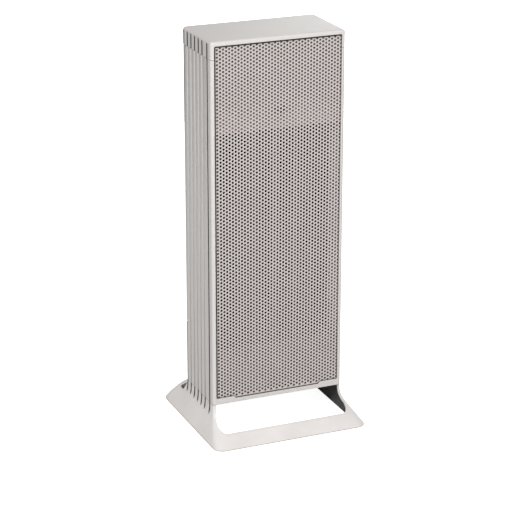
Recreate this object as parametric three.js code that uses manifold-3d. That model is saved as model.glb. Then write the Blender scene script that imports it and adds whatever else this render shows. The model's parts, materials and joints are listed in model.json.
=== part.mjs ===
// Fan convector heater: a slim ribbed tower with a perforated front, on a flared stand.
// Millimetres, +Z up, the front faces -Y, and the origin is on the floor under the middle.
import * as THREE from 'three';
import { mergeVertices } from 'three/addons/utils/BufferGeometryUtils.js';
import Module from 'manifold-3d';

const wasm = await Module();
wasm.setup();

// ---- driving dimensions -------------------------------------------------------------------
const GAP = 0.3;                 // clearance between two pieces that touch
const WALL = 2.5;                // wall of the casing mouldings

const BODY_WIDTH = 193;
const BODY_DEPTH = 102;
const BODY_BOTTOM = 45.5;         // underside of the tower, above the floor
const BODY_TOP = 557;
const BODY_CORNER = 4;           // plan radius of the tower's vertical edges
const CAP_HEIGHT = 24;
const CAP_EDGE = 3.5;            // rounding of the cap's top edge

const STAND_WIDTH = 227;
const STAND_DEPTH = 211;
const STAND_BOTTOM = 1;          // the feet stand this much proud of the skirt
const STAND_CORNER = 14;         // plan radius of the stand's corners at the floor
const STAND_EDGE = 1;            // short upright edge at the foot of the flare
const STAND_WALL = 2.2;
const STAND_INNER_CORNER = 1.5;  // least plan radius inside the stand
const FLARE_TOP = 42;            // the front and the sides are upright above this height
const DECK_THICKNESS = 2.7;
const DECK_SETBACK = 9;          // from the tower's front to the deck's front edge, between the legs
const FRONT_SILL = 14.7;         // height of the bar under the front window
const REAR_SILL = 18;
const WINDOW_MARGIN = 4;         // from the stand's outer edge to the window
const WINDOW_CORNER = 9;
const LINER_THICKNESS = 1.6;
const LINER_SPREAD = 10;         // how far the liner follows the flare outwards
const LINER_FLANGE_EDGE = 107;   // x of the outer edge of the liner's flange
const FOOT = { inner: 101.5, outer: 106.5, halfLength: 11, top: 2, front: -72, rear: 74 };
const BASE_SCREW = { bore: 2.2, shank: 1.8, head: 4, headHeight: 2.2, tip: 52, boss: 5, bossTop: 54 };
const BASE_SCREWS = [[75, 35], [-75, 35], [-75, -35], [75, -35]];
const CORD_PASSAGE = { centre: [-80, 12], radius: 5 };
const GROMMET = { y: 61.1, z: 30, yShare: 0.91, zShare: 0.91, thickness: 1.8, bore: [61.1, 30], radius: 2.2 };

const OPENING_HALF = 91.5;       // half width of the grille opening
const OPENING_TOP = 551;
const RAIL_TOP = 54.5;
const NOTCH_HALF = 62;           // the rail's shallow notch under the grille
const NOTCH_DEPTH = 3;
const GRILLE_THICKNESS = 1;
const GRILLE_BOTTOM = 53;

const GROOVE_PITCH = 13.35;
const GROOVE_COUNT = 6;
const REAR_GROOVE = 46.6;        // y of the rearmost groove
const FRONT_GROOVE = -37.4;      // y of the groove between the bezel and the side panel
const GROOVE_WIDTH = 4.4;
const PANEL_GROOVE_DEPTH = 1.6;
const CAP_GROOVE_DEPTH = 3.5;
const STAND_GROOVE_END = 28;     // where the grooves run out on the flare
const GROOVE_TAPER = 0.4;        // how much a panel groove narrows on each side
const PANEL_THICKNESS = 3;
const BOSS = { x: 86, heights: [75, 500], half: 5, front: 36, bore: 2 };
const REAR_SCREW = { head: 3.6, headHeight: 1.6, shank: 1.6, tip: 40 };
const RETURN = 3;                // from the tower's side to the end of the bezel's rail

const CAP_GROOVE_WALL = 1.5;     // left between a cap groove and the hollow
const CAP_CEILING = 3;
const CAP_SHOULDER = 8;          // depth of the lowered ceiling behind the grille's top edge

const OUTLET_BOTTOM = 124.5;     // the warm air leaves between these two heights
const OUTLET_TOP = 430;
const BAFFLE_FRONT = -45;
const BAFFLE_THICKNESS = 2;

const FAN = { x: -22, y: 14, radius: 28, bottom: 122, top: 432, blades: 24 };
const FAN_PLATE = 3;
const FAN_PLATE_REAR = 45.5;
const FAN_PLATE_LOW = 112;
const FAN_PLATE_HIGH = 437;
const SHAFT_RADIUS = 3;

const DOOR_BOTTOM = 135.5;
const DOOR_TOP = 424.4;
const DOOR_PIVOT = { y: 49.75, z: DOOR_BOTTOM + 1.25 };
const DOOR_INSET = 1.2;          // from the tower's side to the door's edge
const LOUVRES = { count: 22, margin: 14, half: 2.8, spans: [[-82, -4], [4, 82]] };
const GRIP = { half: 14, depth: 1.2, height: 7 };
const FILTER = { half: 86, low: 8, high: 280, thickness: 1.8, border: 4, recess: 0.6 };
const SWITCH = { half: [10, 7], flange: [13, 10], lip: 1.4, wall: 1.5, back: -12, floor: -4, bore: 1.5 };
const ROCKER = { x: 60, y: 47, z: 95, offTilt: -8, pin: 1.2, pinHalf: 9.5 };
const BOARD_THICKNESS = 1.6;
const PENDULUM = { x: 45, y: 0, z: 83, bore: 1.6, pin: 1.2, pinHalf: 11.3, arm: 22, weight: 8 };

const SMALL = 12;                // sides of small round pieces
const MEDIUM = 20;
const LARGE = 32;

const FRONT = -BODY_DEPTH / 2;
const REAR = BODY_DEPTH / 2;
const SIDE = BODY_WIDTH / 2;
const SEAM = BODY_TOP - CAP_HEIGHT;
const CASE_BOTTOM = BODY_BOTTOM + GAP;
const CASE_TOP = SEAM - GAP;
const DECK_BOTTOM = BODY_BOTTOM - GAP - DECK_THICKNESS;
const PANEL_INSIDE = SIDE - PANEL_THICKNESS;
const PANEL_REAR = REAR - WALL - GAP;

// ---- geometry helpers ---------------------------------------------------------------------
const X = new THREE.Vector3(1, 0, 0);
const Y = new THREE.Vector3(0, 1, 0);
const Z = new THREE.Vector3(0, 0, 1);

// Where a prism's outline lies: (y, z) along x, (x, z) along y, (x, y) along z.
const PRISM_FRAMES = {
  x: (from) => new THREE.Matrix4().makeBasis(Y, Z, X).setPosition(from, 0, 0),
  y: (from, to) => new THREE.Matrix4().makeBasis(X, Z, Y.clone().negate()).setPosition(0, to, 0),
  z: (from) => new THREE.Matrix4().makeTranslation(0, 0, from),
};

function toSolid(geometry) {
  geometry.deleteAttribute('normal');
  geometry.deleteAttribute('uv');
  const merged = mergeVertices(geometry, 1e-4);
  return new wasm.Manifold(new wasm.Mesh({
    numProp: 3,
    vertProperties: new Float32Array(merged.attributes.position.array),
    triVerts: new Uint32Array(merged.index.array),
  }));
}

function toGeometry(solid) {
  const mesh = solid.getMesh();
  const geometry = new THREE.BufferGeometry();
  geometry.setAttribute('position', new THREE.BufferAttribute(mesh.vertProperties, 3));
  geometry.setIndex(new THREE.BufferAttribute(mesh.triVerts, 1));
  geometry.computeVertexNormals();
  return geometry;
}

function box([x0, x1], [y0, y1], [z0, z1]) {
  const geometry = new THREE.BoxGeometry(x1 - x0, y1 - y0, z1 - z0);
  geometry.translate((x0 + x1) / 2, (y0 + y1) / 2, (z0 + z1) / 2);
  return toSolid(geometry);
}

function prism(axis, outline, from, to) {
  const shape = new THREE.Shape(outline.map(([a, b]) => new THREE.Vector2(a, b)));
  const geometry = new THREE.ExtrudeGeometry(shape, { depth: to - from, bevelEnabled: false });
  geometry.applyMatrix4(PRISM_FRAMES[axis](from, to));
  return toSolid(geometry);
}

function arc(a, b, radius, startDegrees, endDegrees, steps) {
  const points = [];
  for (let i = 0; i <= steps; i++) {
    const angle = THREE.MathUtils.degToRad(startDegrees + (endDegrees - startDegrees) * i / steps);
    points.push([a + radius * Math.cos(angle), b + radius * Math.sin(angle)]);
  }
  return points;
}

function rod(axis, [a, b], radius, from, to, sides = MEDIUM) {
  return prism(axis, arc(a, b, radius, 0, 360, sides).slice(0, -1), from, to);
}

function mirrored(outline) {
  return outline.map(([a, b]) => [-a, b]).reverse();
}

// A polygon with every corner rounded off over the given length.
function rounded(corners, length, steps = 3) {
  const points = [];
  corners.forEach((corner, i) => {
    const here = new THREE.Vector2(...corner);
    const before = new THREE.Vector2(...corners[(i + corners.length - 1) % corners.length]);
    const after = new THREE.Vector2(...corners[(i + 1) % corners.length]);
    const start = before.sub(here).setLength(length).add(here);
    const end = after.sub(here).setLength(length).add(here);
    const bend = new THREE.QuadraticBezierCurve(start, here, end);
    bend.getPoints(steps).forEach((p) => points.push([p.x, p.y]));
  });
  return points;
}

// A rounded rectangle of plan points at one height, counter-clockwise seen from above.
function planRing(xHalf, yFront, yRear, radius, z) {
  const corners = [[xHalf, yRear], [-xHalf, yRear], [-xHalf, yFront], [xHalf, yFront]];
  return corners.flatMap(([x, y], i) => {
    const centreX = x - Math.sign(x) * radius;
    const centreY = y - Math.sign(y) * radius;
    return arc(centreX, centreY, radius, 90 * i, 90 * i + 90, 6).map(([a, b]) => [a, b, z]);
  });
}

// A closed body through a stack of rings, lowest first.
function loft(rings) {
  const count = rings[0].length;
  const positions = rings.flat(2);
  const middle = (ring) => [0, 1, 2].map((k) => ring.reduce((sum, p) => sum + p[k], 0) / count);
  positions.push(...middle(rings[0]), ...middle(rings.at(-1)));
  const bottomCentre = rings.length * count;
  const topCentre = bottomCentre + 1;
  const topStart = (rings.length - 1) * count;
  const index = [];
  for (let i = 0; i < count; i++) {
    const next = (i + 1) % count;
    for (let start = 0; start < topStart; start += count) {
      index.push(start + i, start + next, start + count + next);
      index.push(start + i, start + count + next, start + count + i);
    }
    index.push(bottomCentre, next, i);
    index.push(topCentre, topStart + i, topStart + next);
  }
  const geometry = new THREE.BufferGeometry();
  geometry.setAttribute('position', new THREE.BufferAttribute(new Float32Array(positions), 3));
  geometry.setIndex(index);
  return toSolid(geometry);
}

// ---- the model ----------------------------------------------------------------------------
const COLOURS = {
  casing: [0xd2d0cd, 0.45, 0],
  grilleSteel: [0xc9c0bf, 0.4, 0.6],
  blackPlastic: [0x1f1d1c, 0.5, 0],
  rubber: [0x3a3a38, 0.9, 0],
  greyPlastic: [0x8f8b88, 0.6, 0],
  zincSteel: [0xb9bcbe, 0.35, 0.9],
  aluminium: [0xc4c6c8, 0.4, 0.9],
  copperSteel: [0x6e6259, 0.5, 0.8],
  circuitBoard: [0x2c5a3a, 0.6, 0],
  filterMesh: [0x4a4c4f, 0.9, 0],
};

const heater = new THREE.Group();

function add(name, solid, colour, place = {}) {
  const [color, roughness, metalness] = COLOURS[colour];
  const material = new THREE.MeshStandardMaterial({ color, roughness, metalness });
  const mesh = new THREE.Mesh(toGeometry(solid), material);
  mesh.name = name;
  mesh.position.set(...(place.at ?? [0, 0, 0]));
  mesh.rotation.set(...(place.turn ?? [0, 0, 0]).map(THREE.MathUtils.degToRad));
  heater.add(mesh);
}

// ---- stand: flared skirt, black liners, feet ------------------------------------------------
// Each flare is a curve of (share of the full spread, height).
const FLARE_FOOT = new THREE.Vector2(1, STAND_BOTTOM + STAND_EDGE);
const frontFlare = new THREE.CubicBezierCurve(
  new THREE.Vector2(0, FLARE_TOP), new THREE.Vector2(0.03, 26), new THREE.Vector2(0.22, 24.5), FLARE_FOOT);
const rearFlare = new THREE.QuadraticBezierCurve(
  new THREE.Vector2(0, BODY_BOTTOM), new THREE.Vector2(0.65, 29), FLARE_FOOT);

function flareAt(curve, z) {
  let above = 0;
  let below = 1;
  for (let step = 0; step < 30; step++) {
    const middle = (above + below) / 2;
    if (curve.getPoint(middle).y > z) above = middle;
    else below = middle;
  }
  return curve.getPoint(below).x;
}

function standHalfWidth(z) {
  return SIDE + (STAND_WIDTH - BODY_WIDTH) / 2 * flareAt(frontFlare, z);
}

function standRing(z, shrink, shapeHeight = z) {
  const spread = (STAND_DEPTH - BODY_DEPTH) / 2;
  const corner = BODY_CORNER + (STAND_CORNER - BODY_CORNER) * flareAt(frontFlare, shapeHeight);
  return planRing(
    standHalfWidth(shapeHeight) - shrink,
    FRONT - spread * flareAt(frontFlare, shapeHeight) + shrink,
    REAR + spread * flareAt(rearFlare, shapeHeight) - shrink,
    Math.max(corner - shrink, STAND_INNER_CORNER), z);
}

const FLARE_HEIGHTS = [2, 4.5, 8, 12, 16, 19, 22, 25, 28.5, 32.5, 37, FLARE_TOP];

function windowOutline(sill, top) {
  const cornerHeight = sill + WINDOW_CORNER;
  const heights = [top, ...FLARE_HEIGHTS.filter((z) => z > cornerHeight + 1 && z < top).reverse()];
  const edge = heights.map((z) => [standHalfWidth(z) - WINDOW_MARGIN, z]);
  const cornerX = standHalfWidth(cornerHeight) - WINDOW_MARGIN - WINDOW_CORNER;
  const right = [...edge, ...arc(cornerX, cornerHeight, WINDOW_CORNER, 0, -90, 5)];
  return [...right, ...mirrored(right)];
}

// The inside of the stand, under its deck, shrunk by a further clearance.
function standCavity(clearance) {
  const inner = FLARE_HEIGHTS.map((z) => z - STAND_WALL).filter((z) => z > STAND_BOTTOM);
  const heights = [0, ...inner, DECK_BOTTOM];
  return loft(heights.map((z) => standRing(z, STAND_WALL + clearance, z + STAND_WALL)));
}

const grooveCentres = [FRONT_GROOVE];
for (let i = 0; i < GROOVE_COUNT; i++) grooveCentres.push(REAR_GROOVE - GROOVE_PITCH * i);

// One groove as a round-ended slot in a side wall, from the plane x = floor outwards.
function grooveCutter(side, y, floor, bottom, top, width) {
  const half = width / 2;
  const outline = [
    ...arc(y, top - half, half, 0, 180, 6),
    ...arc(y, bottom + half, half, 180, 360, 6),
  ];
  const outside = STAND_WIDTH / 2 + 1;
  return side > 0 ? prism('x', outline, floor, outside) : prism('x', outline, -outside, -floor);
}

const CORD_HOLE = rounded([[47, 43], [71.5, 27.5], [59.5, 26.5]], 1.2);
const DECK_RANGE = [DECK_BOTTOM - 11, BODY_BOTTOM + 6];

function buildSkirt() {
  const rings = [STAND_BOTTOM, ...FLARE_HEIGHTS, BODY_BOTTOM - GAP].map((z) => standRing(z, 0));
  let skirt = loft(rings).subtract(standCavity(0));
  const past = STAND_DEPTH / 2 + 5;
  skirt = skirt.subtract(prism('y', windowOutline(FRONT_SILL, DECK_BOTTOM), -past, 0));
  skirt = skirt.subtract(prism('y', windowOutline(REAR_SILL, DECK_BOTTOM), 0, past));
  skirt = skirt.subtract(prism('y', windowOutline(FRONT_SILL, BODY_BOTTOM), -past, FRONT + DECK_SETBACK));
  skirt = skirt.subtract(prism('x', CORD_HOLE, -STAND_WIDTH / 2, -SIDE + 6));
  for (const side of [-1, 1]) {
    for (const y of grooveCentres) {
      const floor = SIDE - PANEL_GROOVE_DEPTH;
      const top = BODY_BOTTOM + GROOVE_WIDTH;
      skirt = skirt.subtract(grooveCutter(side, y, floor, STAND_GROOVE_END, top, GROOVE_WIDTH));
    }
  }
  for (const centre of BASE_SCREWS) {
    skirt = skirt.subtract(rod('z', centre, BASE_SCREW.bore, ...DECK_RANGE));
  }
  return skirt.subtract(rod('z', CORD_PASSAGE.centre, CORD_PASSAGE.radius, ...DECK_RANGE));
}
add('base_skirt', buildSkirt(), 'casing');

// A black lining plate inside each leg, with a flange along the floor that carries the feet.
// The left one also lets the cord through.
function linerOutline() {
  const face = (z) => SIDE - WINDOW_MARGIN + LINER_SPREAD * flareAt(frontFlare, z);
  const heights = [...FLARE_HEIGHTS.filter((z) => z < DECK_BOTTOM), DECK_BOTTOM - GAP];
  const flange = heights.slice(0, 2).map((z) => [LINER_FLANGE_EDGE, z]);
  const outer = heights.slice(1).map((z) => [face(z) + LINER_THICKNESS, z]);
  const inner = heights.map((z) => [face(z), z]).reverse();
  return [...flange, ...outer, ...inner];
}

function buildLiner(side) {
  const outline = side > 0 ? linerOutline() : mirrored(linerOutline());
  const blank = prism('y', outline, -STAND_DEPTH / 2, STAND_DEPTH / 2);
  const plate = blank.intersect(standCavity(GAP));
  return side > 0 ? plate : plate.subtract(prism('x', CORD_HOLE, -STAND_WIDTH / 2, 0));
}

for (const [name, side] of [['left', -1], ['right', 1]]) {
  add(`base_liner_${name}`, buildLiner(side), 'blackPlastic');
  for (const end of ['front', 'rear']) {
    const y = FOOT[end];
    const foot = box([FOOT.inner, FOOT.outer], [y - FOOT.halfLength, y + FOOT.halfLength],
      [0, FOOT.top - GAP]);
    add(`foot_${end}_${name}`, side > 0 ? foot : foot.mirror([1, 0, 0]), 'rubber');
  }
}

function buildGrommet() {
  const { y, z, yShare, zShare, thickness, bore, radius } = GROMMET;
  const inset = CORD_HOLE.map(([a, b]) => [y + (a - y) * yShare, z + (b - z) * zShare]);
  const outside = -SIDE + 0.1;
  const plug = prism('x', inset, outside, outside + thickness);
  return plug.subtract(rod('x', bore, radius, outside - 4, outside + 6, SMALL));
}
add('cord_grommet', buildGrommet(), 'rubber');

// ---- floor plate of the tower ---------------------------------------------------------------
const CHASSIS_TOP = CASE_BOTTOM + 3;

function buildChassisPlate() {
  const edge = PANEL_INSIDE - GAP;
  let plate = box([-edge, edge], [FRONT + WALL + GAP, PANEL_REAR], [CASE_BOTTOM, CHASSIS_TOP]);
  const { boss, bossTop, bore } = BASE_SCREW;
  for (const centre of BASE_SCREWS) plate = plate.add(rod('z', centre, boss, CHASSIS_TOP - 1, bossTop));
  for (const centre of BASE_SCREWS) plate = plate.subtract(rod('z', centre, bore, 40, bossTop + 6));
  return plate.subtract(rod('z', CORD_PASSAGE.centre, CORD_PASSAGE.radius, 40, 50));
}
add('chassis_plate', buildChassisPlate(), 'greyPlastic');

BASE_SCREWS.forEach((centre, i) => {
  const seat = DECK_BOTTOM - GAP;
  const head = rod('z', centre, BASE_SCREW.head, seat - BASE_SCREW.headHeight, seat, SMALL);
  const shank = rod('z', centre, BASE_SCREW.shank, DECK_BOTTOM - 1, BASE_SCREW.tip, SMALL);
  add(`base_screw_${i + 1}`, head.add(shank), 'zincSteel');
});

// ---- ribbed side panels ---------------------------------------------------------------------
const PANEL_FRONT = FRONT_GROOVE - GROOVE_WIDTH / 2 + GAP;

function panelOutline() {
  const floor = SIDE - PANEL_GROOVE_DEPTH;
  const half = GROOVE_WIDTH / 2;
  const low = half - GROOVE_TAPER;
  const outer = [[floor, PANEL_FRONT], [floor, FRONT_GROOVE + low], [SIDE, FRONT_GROOVE + half]];
  for (const y of grooveCentres.slice(2).reverse()) {
    outer.push([SIDE, y - half], [floor, y - low], [floor, y + low], [SIDE, y + half]);
  }
  outer.push([SIDE, REAR_GROOVE - half], [floor, REAR_GROOVE - low], [floor, PANEL_REAR]);
  return [...outer, [PANEL_INSIDE, PANEL_REAR], [PANEL_INSIDE, PANEL_FRONT]];
}

function buildSidePanel(side) {
  let panel = prism('z', panelOutline(), CASE_BOTTOM, CASE_TOP);
  for (const z of BOSS.heights) {
    const block = box([BOSS.x - BOSS.half, PANEL_INSIDE + 0.5], [BOSS.front, PANEL_REAR],
      [z - BOSS.half, z + BOSS.half]);
    const bore = rod('y', [BOSS.x, z], BOSS.bore, BOSS.front - 6, PANEL_REAR + 1, SMALL);
    panel = panel.add(block).subtract(bore);
  }
  return side > 0 ? panel : panel.mirror([1, 0, 0]);
}
add('side_panel_left', buildSidePanel(-1), 'casing');
add('side_panel_right', buildSidePanel(1), 'casing');

// ---- front bezel and perforated grille ------------------------------------------------------
function bezelStile() {
  const back = FRONT_GROOVE - GROOVE_WIDTH / 2;
  return [
    [OPENING_HALF, FRONT],
    ...arc(SIDE - BODY_CORNER, FRONT + BODY_CORNER, BODY_CORNER, -90, 0, 5),
    [SIDE, back],
    [SIDE - WALL, back],
    [SIDE - WALL, FRONT + WALL],
    [OPENING_HALF, FRONT + WALL],
  ];
}

function railOutline() {
  const low = RAIL_TOP - NOTCH_DEPTH;
  const end = SIDE - RETURN;
  const right = [[NOTCH_HALF, low], [NOTCH_HALF + NOTCH_DEPTH, RAIL_TOP], [end, RAIL_TOP]];
  return [...mirrored(right), ...right, [end, CASE_BOTTOM], [-end, CASE_BOTTOM]].reverse();
}

function buildBezel() {
  const right = prism('z', bezelStile(), CASE_BOTTOM, CASE_TOP);
  const rail = prism('y', railOutline(), FRONT, FRONT + WALL);
  return rail.add(right).add(right.mirror([1, 0, 0]));
}
add('front_bezel', buildBezel(), 'casing');

const grilleFront = FRONT + WALL + GAP;
const grilleHalf = SIDE - WALL - 2 * GAP;
add('front_grille', box([-grilleHalf, grilleHalf], [grilleFront, grilleFront + GRILLE_THICKNESS],
  [GRILLE_BOTTOM, OPENING_TOP + GAP]), 'grilleSteel');

// ---- top cap --------------------------------------------------------------------------------
function buildCap() {
  const rings = [planRing(SIDE, FRONT, REAR, BODY_CORNER, SEAM)];
  for (let i = 0; i <= 4; i++) {
    const angle = Math.PI / 2 * i / 4;
    const inset = CAP_EDGE * (1 - Math.cos(angle));
    const z = BODY_TOP - CAP_EDGE * (1 - Math.sin(angle));
    const corner = Math.max(BODY_CORNER - inset, 0.5);
    rings.push(planRing(SIDE - inset, FRONT + inset, REAR - inset, corner, z));
  }
  const cavitySide = SIDE - CAP_GROOVE_DEPTH - CAP_GROOVE_WALL;
  const under = SEAM - 1;
  const inside = FRONT + WALL;
  let cap = loft(rings);
  cap = cap.subtract(box([-cavitySide, cavitySide], [inside + CAP_SHOULDER, REAR - WALL],
    [under, BODY_TOP - CAP_CEILING]));
  cap = cap.subtract(box([-SIDE + WALL, SIDE - WALL], [inside, inside + CAP_SHOULDER + 1],
    [under, OPENING_TOP + 2 * GAP]));
  cap = cap.subtract(box([-OPENING_HALF, OPENING_HALF], [FRONT - 1, inside + 1], [under, OPENING_TOP]));
  for (const side of [-1, 1]) {
    for (const y of grooveCentres) {
      const floor = SIDE - CAP_GROOVE_DEPTH;
      const top = BODY_TOP - CAP_EDGE;
      cap = cap.subtract(grooveCutter(side, y, floor, SEAM - 10, top, GROOVE_WIDTH));
    }
  }
  return cap;
}
add('top_cap', buildCap(), 'casing');

// ---- rear: two covers, hinged intake door with its dust filter, screws -------------------------
function rearOutline() {
  const right = arc(SIDE - BODY_CORNER, REAR - BODY_CORNER, BODY_CORNER, 0, 90, 5)
    .filter(([, y]) => y > REAR - WALL);
  const end = [SIDE - GROOVE_TAPER, REAR - WALL];
  return [end, ...right, ...mirrored(right), ...mirrored([end])];
}

const THROUGH_REAR = [REAR - 5, REAR + 1];

function buildRearCover(bottom, top, bossHeight) {
  let cover = prism('z', rearOutline(), bottom, top);
  for (const x of [-BOSS.x, BOSS.x]) {
    cover = cover.subtract(rod('y', [x, bossHeight], BOSS.bore, ...THROUGH_REAR, SMALL));
  }
  return cover;
}

function buildLowerCover() {
  const [halfX, halfZ] = SWITCH.half.map((half) => half + GAP);
  const cutout = box([ROCKER.x - halfX, ROCKER.x + halfX], THROUGH_REAR,
    [ROCKER.z - halfZ, ROCKER.z + halfZ]);
  return buildRearCover(CASE_BOTTOM, DOOR_BOTTOM - 0.8, BOSS.heights[0]).subtract(cutout);
}
add('rear_cover_lower', buildLowerCover(), 'casing');
add('rear_cover_upper', buildRearCover(DOOR_TOP + GAP, CASE_TOP, BOSS.heights[1]), 'casing');

BOSS.heights.forEach((z, row) => {
  [-BOSS.x, BOSS.x].forEach((x, column) => {
    const seat = REAR + GAP;
    const head = rod('y', [x, z], REAR_SCREW.head, seat, seat + REAR_SCREW.headHeight, SMALL);
    const shank = rod('y', [x, z], REAR_SCREW.shank, REAR_SCREW.tip, REAR + 1, SMALL);
    add(`rear_screw_${2 * row + column + 1}`, head.add(shank), 'zincSteel');
  });
});

// The door is drawn about its hinge line, which runs along its rounded lower edge.
function buildDoor() {
  const half = WALL / 2;
  const top = DOOR_TOP - DOOR_PIVOT.z;
  const outline = [...arc(0, 0, half, 180, 360, 6), [half, top], [-half, top]];
  const edge = SIDE - DOOR_INSET;
  let door = prism('x', outline, -edge, edge);
  const pitch = (top - 2 * LOUVRES.margin) / (LOUVRES.count - 1);
  for (let i = 0; i < LOUVRES.count; i++) {
    const z = LOUVRES.margin + pitch * i;
    for (const span of LOUVRES.spans) {
      door = door.subtract(box(span, [-WALL, WALL], [z - LOUVRES.half, z + LOUVRES.half]));
    }
  }
  return door.subtract(box([-GRIP.half, GRIP.half], [half - GRIP.depth, WALL], [top - GRIP.height, top + 1]));
}
const doorAt = [0, DOOR_PIVOT.y, DOOR_PIVOT.z];
add('intake_door', buildDoor(), 'casing', { at: doorAt });

function buildFilter() {
  const { half, low, high, thickness, border, recess } = FILTER;
  const back = -WALL / 2 - GAP;
  const frame = box([-half, half], [back - thickness, back], [low, high]);
  const inner = half - border;
  return frame.subtract(box([-inner, inner], [back - recess, back + 1], [low + border, high - border]));
}
add('dust_filter', buildFilter(), 'filterMesh', { at: doorAt });

// ---- mains switch ---------------------------------------------------------------------------
function buildSwitchHousing() {
  const [halfX, halfZ] = SWITCH.half;
  const [flangeX, flangeZ] = SWITCH.flange;
  const { lip, wall, back, floor, bore } = SWITCH;
  const seat = REAR + GAP - ROCKER.y;
  let housing = box([-halfX, halfX], [back, seat + 0.5], [-halfZ, halfZ]);
  housing = housing.add(box([-flangeX, flangeX], [seat, seat + lip], [-flangeZ, flangeZ]));
  housing = housing.subtract(box([-halfX + wall, halfX - wall], [floor, 10], [-halfZ + wall, halfZ - wall]));
  return housing.subtract(rod('x', [0, 0], bore, -halfX - 1, halfX + 1, SMALL));
}
add('switch_housing', buildSwitchHousing(), 'blackPlastic', { at: [ROCKER.x, ROCKER.y, ROCKER.z] });

function buildRocker() {
  const half = SWITCH.half[0] - SWITCH.wall - GAP;
  const outline = [[6.2, -4.2], [5.2, 0], [6.2, 4.2], [-1.6, 3], [-1.6, -3]];
  const pin = rod('x', [0, 0], ROCKER.pin, -ROCKER.pinHalf, ROCKER.pinHalf, SMALL);
  return prism('x', outline, -half, half).add(pin);
}
add('power_rocker', buildRocker(), 'blackPlastic',
  { at: [ROCKER.x, ROCKER.y, ROCKER.z], turn: [ROCKER.offTilt, 0, 0] });

// ---- baffles behind the grille, and the remote sensor ------------------------------------------
const baffleBack = BAFFLE_FRONT + BAFFLE_THICKNESS;
const baffleSpan = [-PANEL_INSIDE + GAP, PANEL_INSIDE - GAP];
const SENSOR = { x: 5, z: 455, half: [8, 4], proud: 0.5, flange: 2, flangeThickness: 1 };

function sensorBox(growth, yRange) {
  const [halfX, halfZ] = SENSOR.half.map((half) => half + growth);
  return box([SENSOR.x - halfX, SENSOR.x + halfX], yRange, [SENSOR.z - halfZ, SENSOR.z + halfZ]);
}

add('lower_baffle', box(baffleSpan, [BAFFLE_FRONT, baffleBack],
  [CHASSIS_TOP + GAP, OUTLET_BOTTOM]), 'greyPlastic');
add('upper_baffle', box(baffleSpan, [BAFFLE_FRONT, baffleBack], [OUTLET_TOP, OPENING_TOP])
  .subtract(sensorBox(GAP, [BAFFLE_FRONT - 1, baffleBack + 1])), 'greyPlastic');
const sensorSeat = baffleBack + GAP;
add('sensor_window', sensorBox(0, [BAFFLE_FRONT - SENSOR.proud, baffleBack])
  .add(sensorBox(SENSOR.flange, [sensorSeat, sensorSeat + SENSOR.flangeThickness]))
  .add(sensorBox(-1, [baffleBack - 1, baffleBack + 0.6])), 'blackPlastic');
const sensorBoardFront = sensorSeat + SENSOR.flangeThickness + GAP;
add('sensor_board', box([SENSOR.x - 14, SENSOR.x + 14],
  [sensorBoardFront, sensorBoardFront + BOARD_THICKNESS], [SENSOR.z - 14, SENSOR.z + 8]), 'circuitBoard');

// ---- fan plates, air guides and heating elements -------------------------------------------------
function buildFanPlate(bottom, holeRadius) {
  const edge = PANEL_INSIDE - GAP;
  const plate = box([-edge, edge], [baffleBack + GAP, FAN_PLATE_REAR], [bottom, bottom + FAN_PLATE]);
  return plate.subtract(rod('z', [FAN.x, FAN.y], holeRadius, bottom - 1, bottom + FAN_PLATE + 1, 24));
}

const MOTOR_SCREW = { circle: 14, bore: 1.9, shank: 1.5, head: 3, headHeight: 2, tip: 105 };
const MOTOR_SCREWS = arc(FAN.x, FAN.y, MOTOR_SCREW.circle, 90, 330, 2);

function buildLowerFanPlate() {
  let plate = buildFanPlate(FAN_PLATE_LOW, 8);
  for (const centre of MOTOR_SCREWS) {
    plate = plate.subtract(rod('z', centre, MOTOR_SCREW.bore, FAN_PLATE_LOW - 1, FAN_PLATE_LOW + 4, SMALL));
  }
  return plate;
}
add('fan_plate_lower', buildLowerFanPlate(), 'zincSteel');
add('fan_plate_upper', buildFanPlate(FAN_PLATE_HIGH, 5.3), 'zincSteel');

const GUIDE_RANGE = [FAN_PLATE_LOW + FAN_PLATE + GAP, FAN_PLATE_HIGH - GAP];
const GUIDE_THICKNESS = 1.2;

// A sheet of even thickness along a plan curve.
function sheet(points) {
  const path = points.map(([x, y]) => new THREE.Vector2(x, y));
  const offset = path.map((p, i) => {
    const before = path[Math.max(i - 1, 0)];
    const after = path[Math.min(i + 1, path.length - 1)];
    const along = after.clone().sub(before).normalize();
    return [p.x - along.y * GUIDE_THICKNESS, p.y + along.x * GUIDE_THICKNESS];
  });
  return prism('z', [...points, ...offset.reverse()], ...GUIDE_RANGE);
}

// The wall winds outwards round the fan from the start angle, then runs to the side of the outlet.
const SCROLL = { startAngle: 105, sweep: 80, clearance: 4, growth: 28, steps: 10, end: [-86, -20] };

function scrollPath() {
  const points = [];
  for (let i = 0; i <= SCROLL.steps; i++) {
    const share = i / SCROLL.steps;
    const angle = THREE.MathUtils.degToRad(SCROLL.startAngle + SCROLL.sweep * share);
    const radius = FAN.radius + SCROLL.clearance + SCROLL.growth * share;
    points.push([FAN.x + radius * Math.cos(angle), FAN.y + radius * Math.sin(angle)]);
  }
  return [...points, SCROLL.end];
}

const TONGUE_PATH = [[13, 12], [10.5, -3], [30, -13], [60, -18], [90, -20]];
add('scroll_wall', sheet(scrollPath()), 'zincSteel');
add('fan_tongue', sheet(TONGUE_PATH), 'zincSteel');

const BAR = { half: 19, front: -38, back: -24, pitch: 42, bottom: 117, top: 435 };

const BRACKET = { half: 88, height: 7, wall: 2, plate: 1.3 };

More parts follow.
